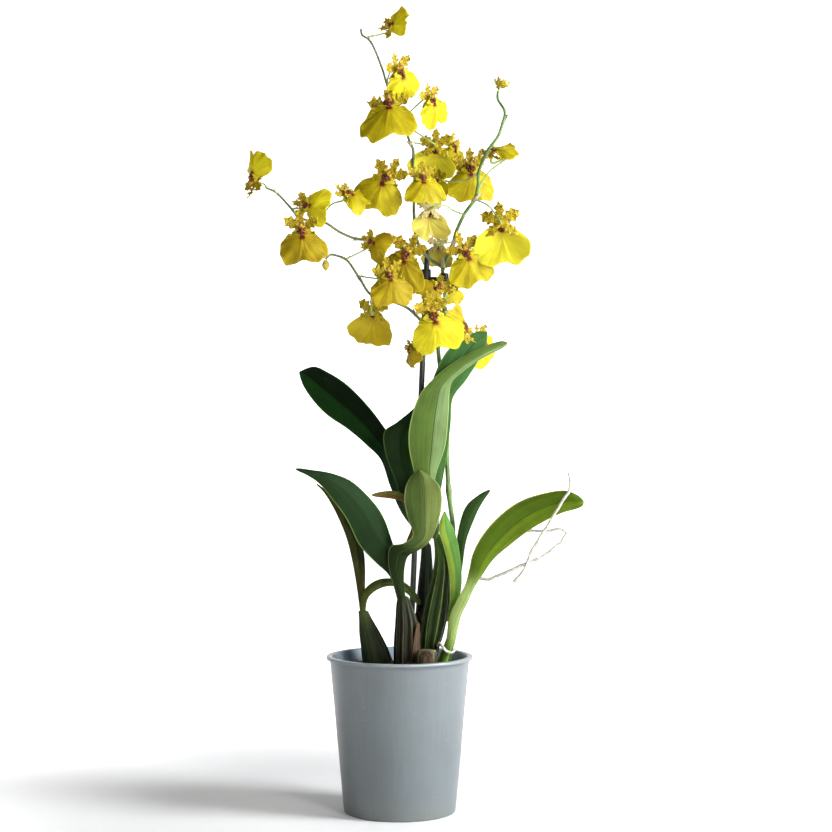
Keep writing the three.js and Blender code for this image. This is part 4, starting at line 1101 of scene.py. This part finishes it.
    hub = [spot(0, 0, z) for z in (-0.06, -0.02, 0.03, 0.08)]
    tube(bm, Line(hub).points_along(6), lambda t, a: size * (0.045 + 0.035 * t), 12, 1)
    piece(node + "_bloom", bm, looks, [node])


# ------------------------------------------------------------------ stems and stalks


def stalk_line(flower, stem):
    """The line of a flower's stalk, from its stem to the back of its hub."""
    start = stem.at(flower["station"] / (len(stem.points) - 1))
    out = facing(flower)[0]
    heart = place(flower["at"])
    size = flower["size"] * MM
    via = [place(p) for p in flower.get("via", ())]
    return Line([start, *via, heart - out * 0.28 * size, heart - out * 0.05 * size])


def make_bract(bm, frames, i, radius, look, length, seed):
    """A small papery bract that clasps a stem at a node."""
    centre, across, up = frames[i]
    along = across.cross(up)

    def at(u, v):
        angle = FULL_TURN * (0.12 + 0.5 * (u - 0.5) * (1 - 0.75 * v) + 0.13 * seed)
        reach = radius * 1.12 + length * 0.16 * v * v
        return centre + along * length * v + (across * math.cos(angle) + up * math.sin(angle)) * reach

    sheet(bm, 8, 8, at, look, BRACT_THICKNESS * MM)


def make_stem(node, looks, radii, joints, bare=False, bud=False):
    """A stem with its swollen joints and bracts, and the flower stalks that leave it."""
    stem = Line([place(p) for p in STEMS[node]])
    steps = 12 * (len(stem.points) - 1)
    points = stem.points_along(steps)
    base, tip = (r * MM for r in radii)

    def radius(share, angle):
        knot = sum(bell(share, joint, 0.006) for joint in joints)
        return (base + (tip - base) * share) * (1 + 0.28 * knot + 0.04 * math.sin(3 * angle + share * 30))

    bm = bmesh.new()
    tube(bm, points, radius, 14)
    frames = ribbon_frames(points)
    bract_length = SPIKE_BRACT if node == "flower_spike" else BRANCH_BRACT
    for i, joint in enumerate(joints):
        at = min(round(joint * steps), steps - 1)
        make_bract(bm, frames, at, radius(joint, 0), 2, bract_length * MM, i)
    for name, flower in FLOWERS.items():
        if flower["stem"] != node:
            continue
        line = stalk_line(flower, stem)

        def stalk_radius(share, angle):
            swell = smooth_step(share, 0.6, 0.85)
            ribs = 1 + 0.1 * swell * math.cos(6 * angle)
            foot = 1 + 0.5 * bell(share, 0, 0.05)
            return MM * (STALK_RADIUS + (OVARY_RADIUS - STALK_RADIUS) * swell) * ribs * foot

        tube(bm, line.points_along(30), stalk_radius, 12, 1)
        stalk_frames = ribbon_frames(line.points_along(30))
        make_bract(bm, stalk_frames, 2, STALK_RADIUS * MM * 1.3, 2, STALK_BRACT * MM, len(name))
    if bare:
        line = Line([place(p) for p in BARE_STALK])

        def bare_radius(share, angle):
            return STALK_RADIUS * MM * (1 + 0.4 * smooth_step(share, 0.9, 1))

        tube(bm, line.points_along(30), bare_radius, 10, 1)
    if bud:
        x, y, z = END_BUD["at"]
        reach = END_BUD["length"]
        line = Line([place((x, y, z + reach * (0.6 - 1.15 * t))) for t in (0, 0.25, 0.5, 0.75, 1)])

        def bud_radius(share, angle):
            form = max(math.sin(math.pi * min(share * 1.04 + 0.05, 1)), 0.1) ** 0.7
            return END_BUD["radius"] * MM * form * (1 + 0.05 * math.cos(3 * angle))

        tube(bm, line.points_along(20), bud_radius, 18, 3)
    piece(node + "_growth", bm, looks, [node])


def make_root(node, look, seed, wander=1.0):
    """A root that wanders a few tenths of a millimetre off its line and is uneven in thickness."""
    line = Line([place(p) for p in ROOTS[node]])
    steps = 12 * len(line.points)
    points = []
    for i in range(steps + 1):
        shift = Vector((0, 0, 0))
        for k in range(3):
            shift[k] = noise.noise(Vector((i * 0.09, seed, k * 5.3)))
        points.append(line.at(i / steps) + shift * wander * MM * smooth_step(i / steps, 0, 0.1))

    def radius(share, angle):
        uneven = 1 + 0.14 * noise.noise(Vector((share * 40, seed, angle * 0.3)))
        return ROOT_RADIUS * MM * (1.16 - 0.25 * share) * uneven * (1 - 0.7 * smooth_step(share, 0.985, 1))

    bm = bmesh.new()
    tube(bm, points, radius, 12)
    piece(node + "_strand", bm, [look], [node])


# ------------------------------------------------------------------ stake and clip


def on_stake(z):
    """The stake's middle at a height."""
    share = (z - STAKE_FOOT[2]) / (STAKE_TOP[2] - STAKE_FOOT[2])
    return place(STAKE_FOOT).lerp(place(STAKE_TOP), share)


def make_stake():
    """The stake, with rounded ends and a slight wave in its coat."""
    foot, top = place(STAKE_FOOT), place(STAKE_TOP)
    shares = [0, 0.004, 0.012, 0.03] + [0.05 * i for i in range(1, 20)] + [0.975, 0.99, 0.996, 1]
    points = [foot.lerp(top, s) for s in shares]

    def radius(share, angle):
        true = shares[round(share * (len(shares) - 1))]
        end = min(smooth_step(true, -0.004, 0.02), 1 - 0.5 * smooth_step(true, 0.985, 1))
        return STAKE_RADIUS * MM * max(end, 0.15) * (1 + 0.015 * math.sin(true * 90))

    bm = bmesh.new()
    tube(bm, points, radius, 28)
    piece("stake_rod", bm, [coated_look()], ["support_stake"])


def make_clip():
    """A small spring clip: two split rings joined by a web with a thicker rib across it."""
    stake = on_stake(CLIP_MIDDLE)
    spike = place((40, 4.8, CLIP_MIDDLE))
    reach = spike - stake
    reach.z = 0
    across = reach.normalized()
    side = Vector((0, 0, 1)).cross(across)
    bm = bmesh.new()
    for centre, (inner, height), gap in ((stake, STAKE_RING, math.pi), (spike, SPIKE_RING, 0)):
        outer, top = inner + CLIP_WALL, height / 2
        at_z = Vector((centre.x, centre.y, CLIP_MIDDLE * MM))
        profile = [(inner, -top), (outer, -top), (outer, top), (inner, top)]
        corners = [bm.verts.new(at_z + across * r * MM + Vector((0, 0, z * MM))) for r, z in profile]
        ring = [bm.edges.new((corners[i], corners[(i + 1) % 4])) for i in range(4)]
        start = gap + CLIP_OPENING / 2
        bmesh.ops.rotate(bm, verts=corners, cent=at_z, matrix=Matrix.Rotation(start, 3, "Z"))
        face = bm.faces.new(corners)
        turn = FULL_TURN - CLIP_OPENING
        bmesh.ops.spin(
            bm, geom=[*corners, *ring, face], cent=at_z, axis=(0, 0, 1), angle=turn, steps=36
        )
    flat = stake.lerp(spike, 0.5)
    for height, thick in ((6, 2.6), (1.6, 4.2)):
        made = bmesh.ops.create_cube(bm, size=1)["verts"]
        half = Vector((max(reach.length - 6.4 * MM, 2 * MM), thick * MM, height * MM))
        for vert in made:
            point = Vector(c * s for c, s in zip(vert.co, half))
            vert.co = Vector((flat.x, flat.y, CLIP_MIDDLE * MM)) + across * point.x + side * point.y
            vert.co.z += point.z
    bmesh.ops.recalc_face_normals(bm, faces=bm.faces[:])
    sharp = [e for e in bm.edges if len(e.link_faces) == 2 and e.calc_face_angle() > 0.9]
    bmesh.ops.bevel(
        bm, geom=sharp, offset=0.35 * MM, segments=2, profile=0.5, affect="EDGES", material=-1,
        clamp_overlap=True,
    )
    for face in bm.faces:
        face.smooth = True
    piece("clip_body", bm, [clip_look()], ["stake_clip"])


# ------------------------------------------------------------------ assembly

make_pot()
make_bark()
finish_medium()

# Bulbs: the colours of the grooves, which also give their painted shade, the skin, the top and the crest
# lines' painted highlights, the number of ridges and their depth, and the dead sheaths: the middle and width
# in degrees, from and to as shares of the height, and how far the top stands off in millimetres.
BULB_LOOKS = {
    "left_bulb": ((22, 31, 9), (32, 42, 13), (66, 80, 30), (50, 62, 26), 7, 0.1, ((-175, 70, 0, 0.2, 2),)),
    "centre_bulb": (
        (17, 17, 9), (32, 31, 16), (34, 48, 18), (104, 100, 70), 11, 0.18,
        ((-35, 66, 0, 0.62, 2), (-165, 40, 0, 0.3, 3), (70, 100, 0, 0.5, 3), (-80, 30, 0, 0.25, 1)),
    ),
    "tall_bulb": (
        (16, 28, 7), (38, 56, 14), (66, 98, 32), (124, 142, 76), 10, 0.15,
        ((-150, 56, 0, 0.2, 3), (-95, 30, 0, 0.1, 2)),
    ),
    "back_bulb": ((12, 17, 9), (28, 36, 22), (40, 54, 34), (50, 60, 40), 8, 0.18, ((-120, 60, 0, 0.5, 5),)),
    "new_shoot": (
        (46, 76, 14), (80, 112, 30), (118, 144, 60), (130, 156, 78), 5, 0.08, ((-120, 80, 0, 0.3, 2),),
    ),
    "old_stub": (
        (44, 39, 26), (78, 72, 50), (116, 108, 82), (126, 116, 90), 6, 0.26, ((-90, 80, 0.1, 1, 1),),
    ),
}
for node, (*tones, ridges, depth, strips) in BULB_LOOKS.items():
    skin = bulb_look(node + "_skin", *tones, ridges)
    make_bulb(node, skin, ridges, depth, "dry_stub" if node == "old_stub" else "bulb", strips)

# Leaves: the colours of the left and right halves, which differ as painted light and shade, margin, midrib
# and foot, then the midrib's place, how far up the foot's colour goes, the roughness and how strongly the
# pale veins show.
LEAF_LOOKS = {
    "upper_left_leaf": (
        (10, 26, 8), (18, 50, 16), (46, 78, 30), (8, 20, 6), None, 0.5, 0.3, 0.36, 0.15,
    ),
    "inner_left_leaf": (
        (22, 46, 13), (26, 54, 15), (78, 104, 42), (14, 30, 10), (44, 60, 20), 0.5, 0.4, 0.42, 0.25,
    ),
    "tall_front_leaf": (
        (80, 104, 42), (104, 126, 76), (152, 170, 94), (42, 64, 26), None, 0.6, 0.3, 0.54, 0.4,
    ),
    "tall_back_leaf": (
        (58, 98, 44), (54, 92, 38), (110, 146, 66), (22, 54, 22), None, 0.5, 0.3, 0.42, 0.3,
    ),
    "twisted_leaf": (
        (70, 88, 38), (100, 114, 56), (144, 156, 94), (64, 80, 36), (26, 39, 12), 0.52, 0.56, 0.52, 0.4,
    ),
    "lower_left_leaf": (
        (20, 46, 13), (22, 44, 14), (100, 126, 58), (15, 32, 9), (20, 36, 11), 0.48, 0.3, 0.46, 0.3,
    ),
    "narrow_left_leaf": (
        (68, 70, 32), (40, 46, 19), (136, 130, 78), (36, 40, 18), (54, 54, 22), 0.5, 0.3, 0.5, 0.35,
    ),
    "small_pale_leaf": (
        (146, 172, 66), (96, 146, 64), (184, 200, 98), (94, 130, 48), (84, 118, 36), 0.4, 0.35, 0.45, 0.3,
    ),
    "lance_leaf": (
        (30, 56, 9), (36, 66, 13), (104, 128, 52), (26, 50, 10), (58, 88, 22), 0.5, 0.4, 0.5, 0.25,
    ),
    "broad_right_leaf": (
        (76, 100, 17), (92, 116, 18), (176, 180, 80), (54, 80, 14), (128, 146, 82), 0.5, 0.36, 0.45, 0.4,
    ),
    "drying_leaf": (
        (100, 76, 34), (84, 84, 34), (130, 108, 58), (62, 46, 20), (72, 76, 34), 0.5, 0.3, 0.6, 0.5,
    ),
    "arching_leaf": (
        (54, 66, 26), (76, 88, 38), (118, 122, 68), (40, 48, 20), (64, 74, 28), 0.5, 0.3, 0.5, 0.4,
    ),
}
for node, traits in LEAF_LOOKS.items():
    make_leaf(node, leaf_look(node + "_green", *traits), 1.2 if node == "twisted_leaf" else 0.6)

green_stem = stem_look("spike_green", (54, 78, 30), (112, 146, 66), (60, 44, 34))
stalk_green = stem_look("stalk_green", (104, 132, 58), (164, 184, 104), (120, 96, 60))
branch_green = stem_look("branch_green", (52, 62, 34), (102, 118, 62), (58, 44, 40))
bract = papery_look("bract_paper", (196, 186, 168), (150, 132, 108))
bud_look = tepal_look("bud_skin", (168, 160, 66), (112, 70, 28), (190, 180, 84), 0.1)
make_stem("flower_spike", [green_stem, stalk_green, bract], SPIKE_RADII,
          (0.09, 0.19, 0.3, 0.42, 0.52, 0.58, 0.7, 0.8, 0.9), bare=True)
make_stem("top_branch", [branch_green, stalk_green, bract], BRANCH_RADII, (0.2, 0.35, 0.5, 0.62, 0.75, 0.88))
make_stem("left_branch", [branch_green, stalk_green, bract], BRANCH_RADII, (0.25, 0.42, 0.6, 0.75, 0.9))
make_stem("lower_branch", [branch_green, stalk_green, bract, bud_look], BRANCH_RADII,
          (0.25, 0.42, 0.58, 0.7, 0.85), bud=True)

barred = tepal_look("tepal_barred", (164, 144, 20), (84, 46, 9), (186, 168, 40), 0.15)
red_crest = crest_look("crest_red", (58, 18, 3), (128, 56, 8))
column = lip_look("column_yellow", (176, 150, 46), (156, 116, 30), (196, 176, 90), (140, 84, 28))
# The lips' colours: bright, deep, pale and by the crest. The bright, mid and deep copies are partly each
# flower's own tone and partly painted light and shade; the faded copy is older flowers' own colour.
LIP_TONES = {
    "bright": ((194, 184, 24), (166, 150, 14), (208, 202, 62), (96, 30, 3)),
    "mid": ((170, 157, 14), (142, 125, 9), (190, 178, 38), (88, 27, 3)),
    "deep": ((154, 136, 11), (126, 104, 7), (172, 156, 30), (80, 24, 3)),
    "faded": ((166, 155, 56), (146, 131, 38), (184, 174, 86), (108, 58, 24)),
}
lips = {tone: lip_look("lip_" + tone, *colours) for tone, colours in LIP_TONES.items()}
faded_tepal = tepal_look("tepal_faded", (178, 164, 100), (124, 90, 58), (194, 184, 130), 0.0)
# The flowers that don't have the middle tone.
FLOWER_TONES = {
    "bright": (1, 2, 4, 5, 9, 10, 11, 22, 25, 27), "deep": (13, 14, 19, 20, 21, 23, 26), "faded": (18, 29),
}
for number, (node, flower) in enumerate(FLOWERS.items(), 1):
    tone = next((tone for tone, chosen in FLOWER_TONES.items() if number in chosen), "mid")
    tepal = faded_tepal if tone == "faded" else barred
    make_flower(node, flower, [lips[tone], tepal, red_crest, column], number + 2)

root_skin = root_look("root_skin", (224, 219, 206), (186, 190, 156))
make_root("long_root", root_skin, 2.0)
make_root("curled_root", root_skin, 5.0)
make_root("short_root", root_skin, 8.0, 0.4)

make_stake()
make_clip()

# ------------------------------------------------------------------ floor, light and camera

# All in metres. The floor and walls glow faintly by the pot and fully from GLOW_FULL away from it.
GLOW_START = 0.2
GLOW_FULL = 0.65
NEAR_GLOW = 0.08
ROOM_REACH = 7
ROOM_HEIGHT = 6
AIR_LIGHT = 0.06

# Lamps: where each is, the height it aims at over the middle, its width, height, watts and tint.
LAMPS = {
    "window": ((1.36, -0.5, 0.9), 0.3, 0.6, 0.9, 46, (0.95, 0.98, 1.0)),
    "front": ((0.75, -1.35, 0.7), 0.2, 0.3, 0.3, 11, (1.0, 0.98, 0.95)),
    "room": ((-1.6, -1.3, 1.2), 0.35, 1.2, 1.2, 1, (1.0, 0.94, 0.86)),
    "ceiling": ((0.2, 0.3, 2.3), 0.3, 1.6, 1.6, 7, (1.0, 1.0, 1.0)),
}

CAMERA_AT = (0.0147, -1.7, 0.355)
LENS_LENGTH = 81.8
SENSOR_WIDTH = 36


def make_stage(name, corner, far_corner):
    """A plain pale floor or wall between two opposite corners, glowing more away from the pot."""
    bm = bmesh.new()
    rise = far_corner[2] - corner[2]
    end = (far_corner[0], far_corner[1] if rise else corner[1], corner[2])
    edge = bm.edges.new([bm.verts.new(corner), bm.verts.new(end)])
    swept = bmesh.ops.extrude_edge_only(bm, edges=[edge])
    moved = [g for g in swept["geom"] if isinstance(g, bmesh.types.BMVert)]
    bmesh.ops.translate(bm, verts=moved, vec=(0, 0 if rise else far_corner[1] - corner[1], rise))
    mesh = bpy.data.meshes.new(name)
    bm.to_mesh(mesh)
    bm.free()
    sheet_object = bpy.data.objects.new(name, mesh)
    bpy.context.scene.collection.objects.link(sheet_object)
    look = Look(name + "_pale", Roughness=0.9, Specular_IOR_Level=0.1, Emission_Strength=1.0)
    look.shader.inputs["Base Color"].default_value = (0.8, 0.8, 0.8, 1)
    x, y = look.position()[:2]
    glow = (x * x + y * y).root().ramp(GLOW_START, GLOW_FULL)
    near, full = (NEAR_GLOW, NEAR_GLOW, NEAR_GLOW, 1), (1, 1, 1, 1)
    look.feed(look.shader.inputs["Emission Color"], look.mix(glow, near, full))
    mesh.materials.append(look.material)
    return sheet_object


def make_light(name, at, aim, width, height, power, tint):
    """A flat lamp at a place, turned to a height over the middle."""
    data = bpy.data.lights.new(name, "AREA")
    data.shape = "RECTANGLE"
    data.size, data.size_y = width, height
    data.energy = power
    data.color = tint
    lamp = bpy.data.objects.new(name, data)
    bpy.context.scene.collection.objects.link(lamp)
    lamp.location = at
    lamp.rotation_euler = (Vector((0, 0, aim)) - Vector(at)).to_track_quat("-Z", "Y").to_euler()


low, high = -ROOM_REACH, ROOM_REACH
make_stage("floor", (low, low, 0), (high, high, 0))
make_stage("wall", (low, high, 0), (high, high, ROOM_HEIGHT))
# The other walls are only a background for other views, and light nothing.
for name, corner, far_corner in (
    ("front_wall", (low, low, 0), (high, low, ROOM_HEIGHT)),
    ("left_wall", (low, low, 0), (low, high, ROOM_HEIGHT)),
    ("right_wall", (high, low, 0), (high, high, ROOM_HEIGHT)),
):
    other = make_stage(name, corner, far_corner)
    other.visible_diffuse = False
    other.visible_glossy = False
for name, traits in LAMPS.items():
    make_light(name, *traits)

world = bpy.data.worlds.new("room_air")
world.use_nodes = True
background = next(n for n in world.node_tree.nodes if n.type == "BACKGROUND")
background.inputs[0].default_value = (1, 1, 1, 1)
background.inputs[1].default_value = AIR_LIGHT
bpy.context.scene.world = world
bpy.context.scene.view_settings.view_transform = "Standard"

lens = bpy.data.cameras.new("camera")
lens.sensor_width = SENSOR_WIDTH
lens.lens = LENS_LENGTH
camera = bpy.data.objects.new("camera", lens)
bpy.context.scene.collection.objects.link(camera)
camera.location = CAMERA_AT
camera.rotation_euler = (math.radians(90), 0, 0)
bpy.context.scene.camera = camera
